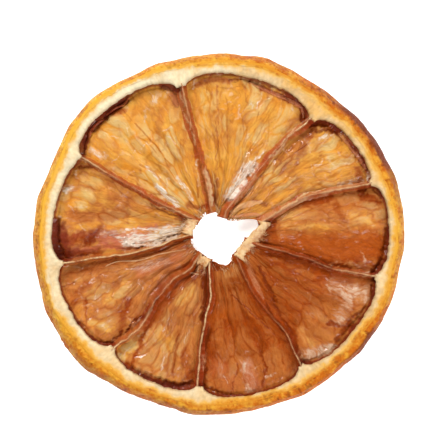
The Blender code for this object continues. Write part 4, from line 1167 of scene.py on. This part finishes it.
def pith_ring(dent_depth):
    """The pith: from just under the peel's edge to the wedges and down to the flat base."""
    degrees = np.arange(RIM_COLUMNS)[None, :] * 360.0 / RIM_COLUMNS
    top, line = rind_top(degrees), pith_line(degrees)
    rim = rim_radius(degrees)
    turns = degrees / 360.0 * 220.0
    edge = rim - np.maximum(around(PEEL_WIDTH, degrees), peel_lean(degrees) + 0.25)
    edge = edge + 0.4
    inner = line + 0.12 + 0.3 * (layered(turns * 0.9, 0.0, 151, 3, 198) - 0.5)
    step = np.linspace(0.0, 1.0, 18)[:, None]
    top_radius = blend(edge, inner, step)
    dip = np.sin(np.pi * step) ** 0.8
    top_height = top + 0.01 - 0.1 * dip - PITH_EDGE_DROP * ease((step - 0.72) / 0.28) ** 1.4
    top_height = top_height - 0.12 * (1.0 - ease(step / 0.1))
    share = np.linspace(0.94, 0.03, 12)[:, None]
    face_radius = inner + 0.1 * (1.0 - share) + 0.0 * share
    face_height = (top - PITH_EDGE_DROP - 0.05) * share
    step = np.linspace(0.0, 1.0, 5)[:, None]
    base_radius = blend(line + PITH_SOFT_EDGE + 0.1, rim - PEEL_CAVES_UNDER + 0.5, step)
    back_radius = blend(rim - PEEL_CAVES_UNDER + 0.6, edge, step)
    back_height = blend(0.7, top - 0.8, step)
    radius = np.concatenate([top_radius, face_radius, base_radius, back_radius])
    height = np.concatenate([top_height, face_height, 0.0 * base_radius, back_height])
    radius, height = soften(radius, 2), soften(height, 2)
    depth = edge - radius
    fibres = layered(turns * 1.6, depth * 0.8, 153, 3, 352)
    dents = layered(turns * 0.5, depth * 0.6, 157, 3, 110)
    crumbs = layered(turns * 2.2, depth * 2.4, 159, 2, 484)
    line_up = creases(turns * 0.6, depth * 0.5, 161, 132)
    shown = 1.0 - ease((np.arange(radius.shape[0])[:, None] - 27.0) / 4.0)
    dent = dent_depth * (0.9 * (1.0 - dents) + 0.25 * fibres + 0.15 * crumbs + 0.3 * line_up)
    height = height - shown * dent * (height > 0.5) * ease((depth - 0.2) / 1.2)
    radius = radius + shown * 0.12 * (fibres - 0.5) * ease(depth / 1.2)
    to_pulp = np.clip(radius - line, 0.0, 9.0)
    age = around(PITH_AGE, degrees) + 0.65 * (layered(turns * 0.4, depth * 0.5, 163, 3, 88) - 0.5)
    age = age + 0.25 * (1.0 - fibres) - 0.2 * ease(to_pulp / 0.4) * (1.0 - ease(to_pulp / 1.1))
    # Painted shade: the pith is darker towards its low foot beside the pulp; the crease lines are real
    burn_and_shade = 0.75 * (1.0 - ease((height - 1.7) / 1.0)) + 0.2 * line_up * age
    masks = {
        "age": held(age),
        "burn_and_shade": held(burn_and_shade),
        "peel": peel_share(degrees, rim - radius),
        "film": held(around(PEEL_AGE, degrees) + 0.0 * depth),
        "tone": held(0.5 + 0.9 * (crumbs - 0.5) + 0.5 * (dents - 0.5)),
        "flow": np.stack(np.broadcast_arrays(turns * 0.66, depth, height), axis=-1),
    }
    index = np.arange(radius.size).reshape(radius.shape)
    return polar(radius, degrees, height), grid_faces(index, wrap_rows=True, wrap_columns=True), masks


def seen(red, green, blue):
    """The surface colour that looks like these 0 to 255 values under the stage's light."""
    return tuple(((part / 255.0 + 0.055) / 1.055) ** 2.4 / STAGE_BRIGHTNESS for part in (red, green, blue))


class Net:
    """Adds shader nodes to a tree and joins them, so that a material reads from top to bottom."""

    def __init__(self, tree):
        self.tree = tree

    def add(self, kind, inputs=(), **settings):
        """A node with its settings, and its inputs by name or by place."""
        node = self.tree.nodes.new(kind)
        for name, value in settings.items():
            setattr(node, name, value)
        for name, value in dict(inputs).items():
            self.feed(node.inputs[name], value)
        return node

    def feed(self, socket, value):
        """Join a socket to another one, or set its value. A set colour is opaque."""
        if isinstance(value, bpy.types.NodeSocket):
            self.tree.links.new(value, socket)
        elif socket.type == "RGBA":
            socket.default_value = (*value, 1.0)
        else:
            socket.default_value = value

    def math(self, operation, *values, clamp=False):
        return self.add("ShaderNodeMath", enumerate(values), operation=operation, use_clamp=clamp).outputs[0]

    def times(self, first, second, clamp=False):
        return self.math("MULTIPLY", first, second, clamp=clamp)

    def less(self, value, amount):
        return self.math("SUBTRACT", value, amount)

    def sloped(self, value, slope, start, clamp=False):
        """A start and a slope times the value."""
        return self.math("MULTIPLY_ADD", value, slope, start, clamp=clamp)

    def vectors(self, operation, *values):
        return self.add("ShaderNodeVectorMath", enumerate(values), operation=operation).outputs[0]

    def noise(self, place, scale, detail, output="Fac", **more):
        inputs = {"Vector": place, "Scale": scale, "Detail": detail, **more}
        return self.add("ShaderNodeTexNoise", inputs).outputs[output]

    def mix(self, share, first, second):
        """A colour a share of the way from first to second."""
        return self.add("ShaderNodeMix", {0: share, 6: first, 7: second}, data_type="RGBA").outputs[2]

    def mask(self, name, output="Fac"):
        """Values that the mesh carries."""
        return self.add("ShaderNodeAttribute", attribute_name=name).outputs[output]

    def placed(self, group, inputs):
        """The outputs of a shared group."""
        return self.add("ShaderNodeGroup", inputs, node_tree=shared_group(group)).outputs


def stretched(net, given, height):
    """The flow of a piece, scaled across and along."""
    scale = {"X": given["Across Scale"], "Y": given["Along Scale"], "Z": height}
    return net.add("ShaderNodeCombineXYZ", scale).outputs[0]


def dried_fibres(net, given, result):
    """Fine threads that run along the flow of a piece."""
    place = net.vectors("MULTIPLY", given["Flow"], stretched(net, given, 1.0))
    broad = net.noise(place, 0.45, 2.0, Distortion=0.6)
    off_middle = net.math("ABSOLUTE", net.less(broad, 0.5))
    net.feed(result["Height"], net.noise(place, 1.0, 4.0, Roughness=0.6))
    net.feed(result["Streak"], net.math("SUBTRACT", 1.0, net.times(off_middle, 16.0), clamp=True))


def sac_net(net, given, result):
    """The thin walls between juice sacs, long along the flow."""
    warp = net.vectors("MULTIPLY", net.noise(given["Flow"], 0.55, 2.0, "Color"), (2.4, 2.4, 2.4))
    moved = net.vectors("ADD", given["Flow"], warp)
    inputs = {"Vector": net.vectors("MULTIPLY", moved, stretched(net, given, 0.0)), "Scale": 1.0}
    edges = net.add("ShaderNodeTexVoronoi", inputs, feature="DISTANCE_TO_EDGE")
    sacs = net.add("ShaderNodeTexVoronoi", inputs)
    own = net.add("ShaderNodeSeparateColor", {"Color": sacs.outputs["Color"]}).outputs
    seam = net.math("SUBTRACT", 1.0, net.times(edges.outputs["Distance"], 14.0), clamp=True)
    net.feed(result["Seam"], net.times(seam, net.sloped(own[0], 1.3, -0.15, clamp=True)))
    net.feed(result["Sac"], own[1])


def aged_colour(net, given, result):
    """A colour that goes from young over old to the darkest colour, used for burns and for painted shade, a
    little lighter or darker with the tone.
    """
    old = net.mix(net.math("ADD", given["Age"], 0.0, clamp=True), given["Young"], given["Old"])
    burnt_and_shaded = net.mix(net.math("ADD", given["Burn And Shade"], 0.0, clamp=True), old, given["Burnt And Shaded"])
    toned = {"Color": burnt_and_shaded, "Value": net.sloped(given["Tone"], 0.36, 0.82)}
    net.feed(result["Colour"], net.add("ShaderNodeHueSaturation", toned).outputs["Color"])


def fine_grain(net, given, result):
    """Small bumps and mottling that run the same way everywhere."""
    bumps = net.noise(given["Place"], given["Scale"], 3.0, Roughness=0.65)
    net.feed(result["Height"], net.times(bumps, given["Strength"]))
    net.feed(result["Mottle"], net.noise(given["Place"], net.times(given["Scale"], 0.22), 2.0))


# The groups that the materials share: their names, inputs and outputs, with the kind of each socket
ALONG_FLOW = {"Flow": "Vector", "Across Scale": "Float", "Along Scale": "Float"}
GROUPS = {
    dried_fibres: ("Dried fibres", ALONG_FLOW, {"Height": "Float", "Streak": "Float"}),
    sac_net: ("Juice sac net", ALONG_FLOW, {"Seam": "Float", "Sac": "Float"}),
    aged_colour: (
        "Aged colour",
        {"Young": "Color", "Old": "Color", "Burnt And Shaded": "Color", "Age": "Float", "Burn And Shade": "Float", "Tone": "Float"},
        {"Colour": "Color"},
    ),
    fine_grain: (
        "Fine grain",
        {"Place": "Vector", "Scale": "Float", "Strength": "Float"},
        {"Height": "Float", "Mottle": "Float"},
    ),
}


def shared_group(fill):
    """The shader node group that a function fills, built when it is first asked for."""
    name, inputs, outputs = GROUPS[fill]
    tree = bpy.data.node_groups.get(name)
    if tree is None:
        tree = bpy.data.node_groups.new(name, "ShaderNodeTree")
        for side, sockets in (("INPUT", inputs), ("OUTPUT", outputs)):
            for socket, kind in sockets.items():
                tree.interface.new_socket(socket, in_out=side, socket_type="NodeSocket" + kind)
        net = Net(tree)
        fill(net, net.add("NodeGroupInput").outputs, net.add("NodeGroupOutput").inputs)
    return tree


def along_flow(net, group, across, along):
    """The outputs of a group that runs along the flow of a piece."""
    inputs = {"Flow": net.mask("flow", "Vector"), "Across Scale": across, "Along Scale": along}
    return net.placed(group, inputs)


def grained(net, scale, strength=1.0):
    """The fine grain of a piece, placed in millimetres."""
    place = net.vectors("MULTIPLY", net.add("ShaderNodeTexCoord").outputs["Object"], (1.0 / MM,) * 3)
    return net.placed(fine_grain, {"Place": place, "Scale": scale, "Strength": strength})


def aged(net, young, old, burnt_and_shaded, age, tone):
    """A finish's colour at each place, by its age, its tone and the piece's own burns and painted shade."""
    inputs = {"Young": young, "Old": old, "Burnt And Shaded": burnt_and_shaded, "Age": age, "Burn And Shade": net.mask("burn_and_shade"), "Tone": tone}
    return net.placed(aged_colour, inputs)["Colour"]


def new_material(name, coat, coat_roughness, gleam=SURFACE_GLEAM):
    """A material with an empty net round a Principled shader that holds the constants."""
    material = bpy.data.materials.get(name) or bpy.data.materials.new(name)
    material.use_nodes = True
    material.node_tree.nodes.clear()
    net = Net(material.node_tree)
    constants = {"Coat Weight": coat, "Coat Roughness": coat_roughness, "Specular IOR Level": gleam}
    shader = net.add("ShaderNodeBsdfPrincipled", constants)
    net.add("ShaderNodeOutputMaterial", {"Surface": shader.outputs["BSDF"]})
    return material, net, shader


def feed_skin(net, shader, colour, roughness, height, depth):
    """Feed a finish's colour, roughness and bump, whose depth is in metres."""
    bump = net.add("ShaderNodeBump", {"Strength": 1.0, "Distance": depth, "Height": height})
    fed = {"Base Color": colour, "Roughness": roughness, "Normal": bump.outputs["Normal"]}
    for socket, value in fed.items():
        net.feed(shader.inputs[socket], value)


def flesh_colour(net, colours, fibres, mottle):
    """The colour of dried pulp, also under films: amber to red-brown, with dark veins, pale threads and
    painted highlights.
    """
    small = along_flow(net, sac_net, 2.2, 0.7)
    thread, browned, pale = fibres["Height"], net.mask("age"), net.mask("pale")
    age = net.sloped(thread, 0.34, net.less(browned, 0.17))
    age = net.sloped(small["Sac"], 0.1, net.less(age, 0.05))
    tone = net.sloped(mottle, 0.4, net.less(net.mask("tone"), 0.2))
    warm = net.sloped(net.less(grained(net, 2.2)["Mottle"], 0.5), 2.2, 0.5, clamp=True)
    young = net.mix(warm, colours.pulp_young, colours.pulp_amber)
    tan = net.mix(net.times(age, 2.0, clamp=True), young, colours.pulp_tan)
    colour = aged(net, tan, colours.pulp_old, colours.pulp_burn_and_shade, net.sloped(age, 2.0, -1.0), tone)
    pane = net.times(net.mask("pane"), net.sloped(thread, 1.0, 0.2), clamp=True)
    colour = net.mix(pane, colour, colours.pulp_pane)
    blush = net.times(net.mask("blush"), net.sloped(thread, 1.4, 0.25), clamp=True)
    colour = net.mix(blush, colour, colours.blush)
    # Painted highlights: the pale mask turns the pulp towards pulp_pale, or pulp_dull where browned, most on
    # the raised threads
    shine = net.sloped(pale, 0.75, net.sloped(thread, 3.0, -1.3), clamp=True)
    facet = net.mix(browned, colours.pulp_pale, colours.pulp_dull)
    colour = net.mix(net.times(pale, shine, clamp=True), colour, facet)
    colour = net.mix(net.times(net.mask("plum"), 0.75), colour, colours.plum)
    colour = net.mix(net.times(net.mask("glow"), 0.7), colour, colours.glow)
    thin = net.math("MAXIMUM", net.times(fibres["Streak"], 0.3), net.times(small["Seam"], 0.4))
    thin = net.times(thin, net.sloped(browned, 0.8, 0.1))
    lines = net.math("MAXIMUM", net.times(net.mask("vein"), 0.7), thin)
    lines = net.times(lines, net.sloped(pale, -0.75, 1.0))
    return net.mix(lines, colour, net.mix(browned, colours.vein, colours.pulp_burn_and_shade))


def pulp_material(colours):
    """Dried pulp, with a glassy coat where the juice has dried on it."""
    material, net, shader = new_material("dried_pulp", 0.1, 0.1)
    fibres, grain = along_flow(net, dried_fibres, 5.5, 1.3), grained(net, 5.0, 0.5)
    glassy = net.sloped(grained(net, 4.2)["Mottle"], 4.0, -2.0, clamp=True)
    glassy = net.times(glassy, net.sloped(net.mask("age"), 0.4, 0.3))
    net.feed(shader.inputs["Coat Weight"], net.sloped(net.mask("pale"), 0.3, glassy))
    roughness = net.sloped(grain["Mottle"], 0.2, net.sloped(net.mask("pale"), 0.1, 0.26))
    ridges = along_flow(net, sac_net, 3.6, 1.6)["Seam"]
    height = net.sloped(ridges, 0.5, net.math("ADD", fibres["Height"], grain["Height"]))
    feed_skin(net, shader, flesh_colour(net, colours, fibres, grain["Mottle"]), roughness, height, 0.00008)
    return material


def membrane_material(colours):
    """The walls, films and core: brown film over flesh, with painted pinkish highlights and cream torn edges.
    """
    material, net, shader = new_material("dried_membrane", 0.2, 0.15)
    fibres, grain = along_flow(net, dried_fibres, 3.2, 2.6), grained(net, 4.5, 0.6)
    thread = fibres["Height"]
    film = net.times(net.mask("film"), net.sloped(thread, 0.9, 0.35), clamp=True)
    # Painted highlights: pink marks and the highest fibre threads (gleam) turn the film towards film_pink, and
    # the film is lighter on the raised threads; the pink mask is partly pinkish film
    gleam = net.times(net.sloped(thread, 3.4, -1.75, clamp=True), 0.5)
    pink = net.math("ADD", net.mask("pink"), gleam, clamp=True)
    shaded = {"Color": colours.film, "Value": net.sloped(thread, 1.4, 0.35)}
    shaded = net.add("ShaderNodeHueSaturation", shaded).outputs["Color"]
    filmed = net.mix(pink, shaded, colours.film_pink)
    filmed = net.mix(film, flesh_colour(net, colours, fibres, grain["Mottle"]), filmed)
    cream = net.times(net.mask("cream"), net.sloped(grain["Mottle"], 1.1, 0.45), clamp=True)
    height = net.math("ADD", thread, grain["Height"])
    roughness = net.sloped(cream, 0.35, 0.34)
    feed_skin(net, shader, net.mix(cream, filmed, colours.cream), roughness, height, 0.00009)
    return material


def rind_colour(net, colours, pith, peel):
    """From pith to peel over the gold between them, broken up finely where they meet."""
    share = net.mask("peel")
    meeting = net.times(net.times(share, net.math("SUBTRACT", 1.0, share)), 3.2)
    broken = net.times(net.less(grained(net, 7.0)["Mottle"], 0.5), meeting)
    share = net.sloped(broken, 1.4, share, clamp=True)
    inner = net.mix(net.times(share, 2.0, clamp=True), pith, colours.rind_gold)
    return net.mix(net.sloped(share, 2.0, -1.0, clamp=True), inner, peel)


def peel_material(colours):
    """Dried peel, mottled from gold to brown, with the pith beyond its inner edge."""
    material, net, shader = new_material("dried_peel", 0.03, 0.3)
    grain = grained(net, 3.6, 0.8)
    age = net.sloped(grain["Mottle"], 0.8, net.less(net.mask("age"), 0.4))
    age = net.sloped(grained(net, 9.0)["Mottle"], 1.2, net.less(age, 0.6))
    peel = aged(net, colours.peel_young, colours.peel_old, colours.peel_speck_and_shade, age, net.mask("tone"))
    pith = net.mix(net.mask("film"), colours.pith_young, colours.pith_old)
    roughness = net.sloped(grain["Mottle"], 0.25, 0.36)
    feed_skin(net, shader, rind_colour(net, colours, pith, peel), roughness, grain["Height"], 0.00018)
    return material


def pith_material(colours):
    """Dried pith, matt and fibrous, with the peel beyond its outer edge."""
    material, net, shader = new_material("dried_pith", 0.0, 0.5)
    fibres, grain = along_flow(net, dried_fibres, 4.0, 2.2), grained(net, 6.0, 0.6)
    age = net.sloped(fibres["Height"], 0.45, net.less(net.mask("age"), 0.22))
    tone = net.sloped(grain["Mottle"], 0.4, net.less(net.mask("tone"), 0.2))
    pith = aged(net, colours.pith_young, colours.pith_old, colours.pith_crease_and_shade, age, tone)
    peel = net.mix(net.mask("film"), colours.peel_young, colours.peel_old)
    height = net.math("ADD", fibres["Height"], grain["Height"])
    feed_skin(net, shader, rind_colour(net, colours, pith, peel), 0.75, height, 0.00006)
    return material


class SliceForm(bpy.types.PropertyGroup):
    """How deep the slice's fine forms are."""

    sac_depth: bpy.props.FloatProperty(
        name="Juice sac depth", description="How far the seams between the pulp's juice sacs sink, in mm",
        default=0.08, min=0.0, max=0.5,
    )
    pore_depth: bpy.props.FloatProperty(
        name="Pore depth", description="How deep the peel's pores are, in mm", default=0.12, min=0.0, max=0.3,
    )
    dent_depth: bpy.props.FloatProperty(
        name="Pith dents", description="How deep the pith's dents and fibres are, in mm",
        default=0.1, min=0.0, max=0.4,
    )
    fibre_count: bpy.props.IntProperty(
        name="Frayed fibres", description="Threads round the torn hole", default=300, min=0, max=400,
    )


def colour_property(label, about, colour):
    return bpy.props.FloatVectorProperty(
        name=label, description=about, subtype="COLOR", size=3, min=0.0, max=1.0, default=colour,
    )


class SliceColours(bpy.types.PropertyGroup):
    """The colours of the slice's finishes."""

    pulp_young: colour_property("Fresh pulp", "Pulp that dried pale and golden", seen(243, 179, 78))
    pulp_amber: colour_property("Amber pulp", "Blotches of stronger orange in fresh pulp", seen(235, 149, 44))
    # pulp_dull is also the colour of painted highlights in browned pulp
    pulp_dull: colour_property("Dull threads", "Pale facets of browned pulp", seen(218, 158, 108))
    pulp_pane: colour_property("Glassy pulp", "Pale yellow panes in fresh pulp", seen(232, 198, 130))
    blush: colour_property("Blush", "Pulp and film that dried pink", seen(216, 118, 84))
    pulp_old: colour_property("Brown pulp", "Pulp that turned amber brown", seen(168, 70, 8))
    # Also the colour of painted shade: the shadow in pits, shaded_crack and deep sunk hollows
    pulp_burn_and_shade: colour_property("Burnt pulp", "Creases and pits in the pulp", seen(104, 28, 2))
    # Also the colour of painted highlights: glints, glare on glossy film and the sheen on crumpled ridges
    pulp_pale: colour_property("Pale threads", "Pale facets and threads of the pulp", seen(255, 242, 222))
    plum: colour_property("Plum film", "Film that turned purple brown", seen(150, 64, 44))
    # Painted light: thin pulp coloured as if light shone through it
    glow: colour_property("Thin pulp", "Pulp so thin that light comes through", seen(202, 98, 26))
    pulp_tan: colour_property("Tan pulp", "Pulp that has half browned", seen(206, 124, 58))
    vein: colour_property("Veins", "Thin lines in pale pulp", seen(176, 88, 14))
    # Also the colour of painted pinkish highlights on the films
    film_pink: colour_property("Pink film", "Streaks where a film shines pinkish", seen(238, 178, 134))
    film: colour_property("Wall film", "Films down the walls between the wedges", seen(180, 66, 30))
    cream: colour_property("Cream edges", "Torn edges of walls, core and folds", seen(248, 210, 156))
    pith_young: colour_property("Pale pith", "Pith that stayed cream", seen(250, 232, 192))
    pith_old: colour_property("Yellow pith", "Pith that turned golden", seen(230, 179, 106))
    pith_crease_and_shade: colour_property("Shaded pith", "The pith's foot, beside the pulp", seen(150, 70, 26))
    rind_gold: colour_property("Rind gold", "Between the peel and the pith", seen(244, 186, 88))
    peel_young: colour_property("Golden peel", "Peel that stayed bright", seen(252, 190, 64))
    peel_old: colour_property("Brown peel", "Peel that browned", seen(206, 106, 14))
    peel_speck_and_shade: colour_property("Dark rim", "The darkest stretches of the rim", seen(136, 58, 10))


class StageLook(bpy.types.PropertyGroup):
    """The floor, the light and the camera's distance."""

    floor_colour: colour_property("Floor", "The plain pale floor", (0.8, 0.8, 0.8))
    floor_glow: bpy.props.FloatProperty(
        name="Floor glow", description="How strongly the floor shines, as a light table does",
        default=0.85, min=0.0,
    )
    sky: bpy.props.FloatProperty(
        name="Sky", description="Strength of the even light from all sides", default=1.74, min=0.0,
    )
    key: bpy.props.FloatProperty(
        name="Key light", description="Power of the main soft light", default=2.5, min=0.0, subtype="POWER",
    )
    fill: bpy.props.FloatProperty(
        name="Fill light", description="Power of the second soft light",
        default=2.9, min=0.0, subtype="POWER",
    )
    back: bpy.props.FloatProperty(
        name="Back light", description="Power of the light beyond the slice",
        default=1.2, min=0.0, subtype="POWER",
    )
    camera_height: bpy.props.FloatProperty(
        name="Camera height", description="How far above the floor the camera stands",
        default=0.3, min=0.12, unit="LENGTH",
    )


class LEMON_OT_make_peel(bpy.types.Operator):
    """Make the peel round the slice"""

    bl_idname = "lemon.make_peel"
    bl_label = "Peel"

    def execute(self, context):
        form = peel_ring(context.scene.lemon_form.pore_depth)
        new_piece("peel_ring", form, peel_material(context.scene.lemon_colours))
        return {"FINISHED"}


class LEMON_OT_make_pith(bpy.types.Operator):
    """Make the pith inside the peel"""

    bl_idname = "lemon.make_pith"
    bl_label = "Pith"

    def execute(self, context):
        form = pith_ring(context.scene.lemon_form.dent_depth)
        new_piece("pith_ring", form, pith_material(context.scene.lemon_colours))
        return {"FINISHED"}


class LEMON_OT_make_pulp(bpy.types.Operator):
    """Make the nine wedges of pulp"""

    bl_idname = "lemon.make_pulp"
    bl_label = "Pulp"

    def execute(self, context):
        material = pulp_material(context.scene.lemon_colours)
        for wedge in PULP:
            form = pulp_sheet(wedge, context.scene.lemon_form.sac_depth)
            new_piece("pulp_" + wedge.looks["name"], form, material)
        return {"FINISHED"}


class LEMON_OT_make_walls(bpy.types.Operator):
    """Make the walls between the wedges"""

    bl_idname = "lemon.make_walls"
    bl_label = "Walls"

    def execute(self, context):
        material = membrane_material(context.scene.lemon_colours)
        for number in range(len(WALLS)):
            new_piece(f"wall_{number + 1}", wall_tube(number), material)
        return {"FINISHED"}


class LEMON_OT_make_core(bpy.types.Operator):
    """Make the strips of core round the torn hole"""

    bl_idname = "lemon.make_core"
    bl_label = "Core"

    def execute(self, context):
        material = membrane_material(context.scene.lemon_colours)
        for strip in CORE_STRIPS:
            new_piece(strip["name"], core_tube(strip), material)
        return {"FINISHED"}


class LEMON_OT_make_films(bpy.types.Operator):
    """Make the folds, films and torn strips on the pulp"""

    bl_idname = "lemon.make_films"
    bl_label = "Folds and films"

    def execute(self, context):
        material = membrane_material(context.scene.lemon_colours)
        for number, ribbon in enumerate(RIBBONS):
            new_piece(ribbon["name"], ribbon_tube(ribbon, number), material)
        return {"FINISHED"}


class LEMON_OT_make_fibres(bpy.types.Operator):
    """Make the frayed threads round the torn hole"""

    bl_idname = "lemon.make_fibres"
    bl_label = "Frayed fibres"

    def execute(self, context):
        form = fibre_tubes(context.scene.lemon_form.fibre_count)
        material = membrane_material(context.scene.lemon_colours)
        new_piece("frayed_fibres", form, material)
        return {"FINISHED"}


def soft_light(name, place, power, size):
    """A square light that faces the slice."""
    light = bpy.data.lights.new(name, "AREA")
    light.energy = power
    light.size = size
    lamp = bpy.data.objects.new(name, light)
    lamp.location = place
    lamp.rotation_euler = Vector(place).to_track_quat("Z", "Y").to_euler()
    bpy.context.scene.collection.objects.link(lamp)


class LEMON_OT_set_stage(bpy.types.Operator):
    """Set up the floor, the light and the camera"""

    bl_idname = "lemon.set_stage"
    bl_label = "Stage"

    def execute(self, context):
        look = context.scene.lemon_stage
        mesh = bpy.data.meshes.new("floor")
        square = ((-1, -1), (1, -1), (1, 1), (-1, 1))
        corners = [(x * FLOOR_HALF, y * FLOOR_HALF, FLOOR_HEIGHT) for x, y in square]
        mesh.from_pydata(corners, [], [(0, 1, 2, 3)])
        floor = bpy.data.objects.new("floor", mesh)
        context.scene.collection.objects.link(floor)
        material, net, shader = new_material("pale_floor", 0.0, 0.5, gleam=0.0)
        for socket in ("Base Color", "Emission Color"):
            net.feed(shader.inputs[socket], look.floor_colour)
        shader.inputs["Emission Strength"].default_value = look.floor_glow
        shader.inputs["Roughness"].default_value = 0.9
        mesh.materials.append(material)
        world = context.scene.world or bpy.data.worlds.new("sky")
        context.scene.world = world
        world.use_nodes = True
        net = Net(world.node_tree)
        sky = world.node_tree.nodes["Background"]
        facing = net.add("ShaderNodeTexCoord").outputs["Generated"]
        upward = net.add("ShaderNodeSeparateXYZ", {"Vector": facing})
        span = {"From Min": 0.84, "From Max": 0.96, "To Min": 1.0, "To Max": 0.25}
        overhead = net.add("ShaderNodeMapRange", span)
        net.feed(overhead.inputs["Value"], upward.outputs["Z"])
        net.feed(sky.inputs["Strength"], net.times(overhead.outputs["Result"], look.sky))
        soft_light("key_light", (-0.26, 0.27, 0.36), look.key, 0.16)
        soft_light("fill_light", (0.22, -0.3, 0.36), look.fill, 0.34)
        soft_light("back_light", (0.12, 0.36, 0.26), look.back, 0.2)
        camera = bpy.data.cameras.new("camera")
        camera.sensor_width = SENSOR
        camera.lens = SENSOR * (look.camera_height - LOOKED_AT_HEIGHT) / PICTURE_HEIGHT
        stand = bpy.data.objects.new("camera", camera)
        stand.location = (*PICTURE_MIDDLE, look.camera_height)
        context.scene.collection.objects.link(stand)
        context.scene.camera = stand
        context.scene.view_settings.view_transform = "Standard"
        return {"FINISHED"}


OPERATORS = (
    LEMON_OT_make_peel,
    LEMON_OT_make_pith,
    LEMON_OT_make_pulp,
    LEMON_OT_make_walls,
    LEMON_OT_make_core,
    LEMON_OT_make_films,
    LEMON_OT_make_fibres,
    LEMON_OT_set_stage,
)


class LEMON_PT_panel(bpy.types.Panel):
    """The slice's settings and the buttons that make its pieces"""

    bl_label = "Dried Lemon Slice"
    bl_idname = "LEMON_PT_panel"
    bl_space_type = "VIEW_3D"
    bl_region_type = "UI"
    bl_category = "Lemon Slice"

    def draw(self, context):
        for settings in (context.scene.lemon_form, context.scene.lemon_colours, context.scene.lemon_stage):
            box = self.layout.box()
            for name in settings.__annotations__:
                box.prop(settings, name)
        for operator in OPERATORS:
            self.layout.operator(operator.bl_idname)


CLASSES = (SliceForm, SliceColours, StageLook, *OPERATORS, LEMON_PT_panel)


def register():
    for entry in CLASSES:
        bpy.utils.register_class(entry)
    bpy.types.Scene.lemon_form = bpy.props.PointerProperty(type=SliceForm)
    bpy.types.Scene.lemon_colours = bpy.props.PointerProperty(type=SliceColours)
    bpy.types.Scene.lemon_stage = bpy.props.PointerProperty(type=StageLook)


def unregister():
    del bpy.types.Scene.lemon_form
    del bpy.types.Scene.lemon_colours
    del bpy.types.Scene.lemon_stage
    for entry in reversed(CLASSES):
        bpy.utils.unregister_class(entry)


def main():
    register()
    bpy.ops.lemon.make_peel()
    bpy.ops.lemon.make_pith()
    bpy.ops.lemon.make_pulp()
    bpy.ops.lemon.make_walls()
    bpy.ops.lemon.make_core()
    bpy.ops.lemon.make_films()
    bpy.ops.lemon.make_fibres()
    bpy.ops.lemon.set_stage()


if __name__ == "__main__":
    main()
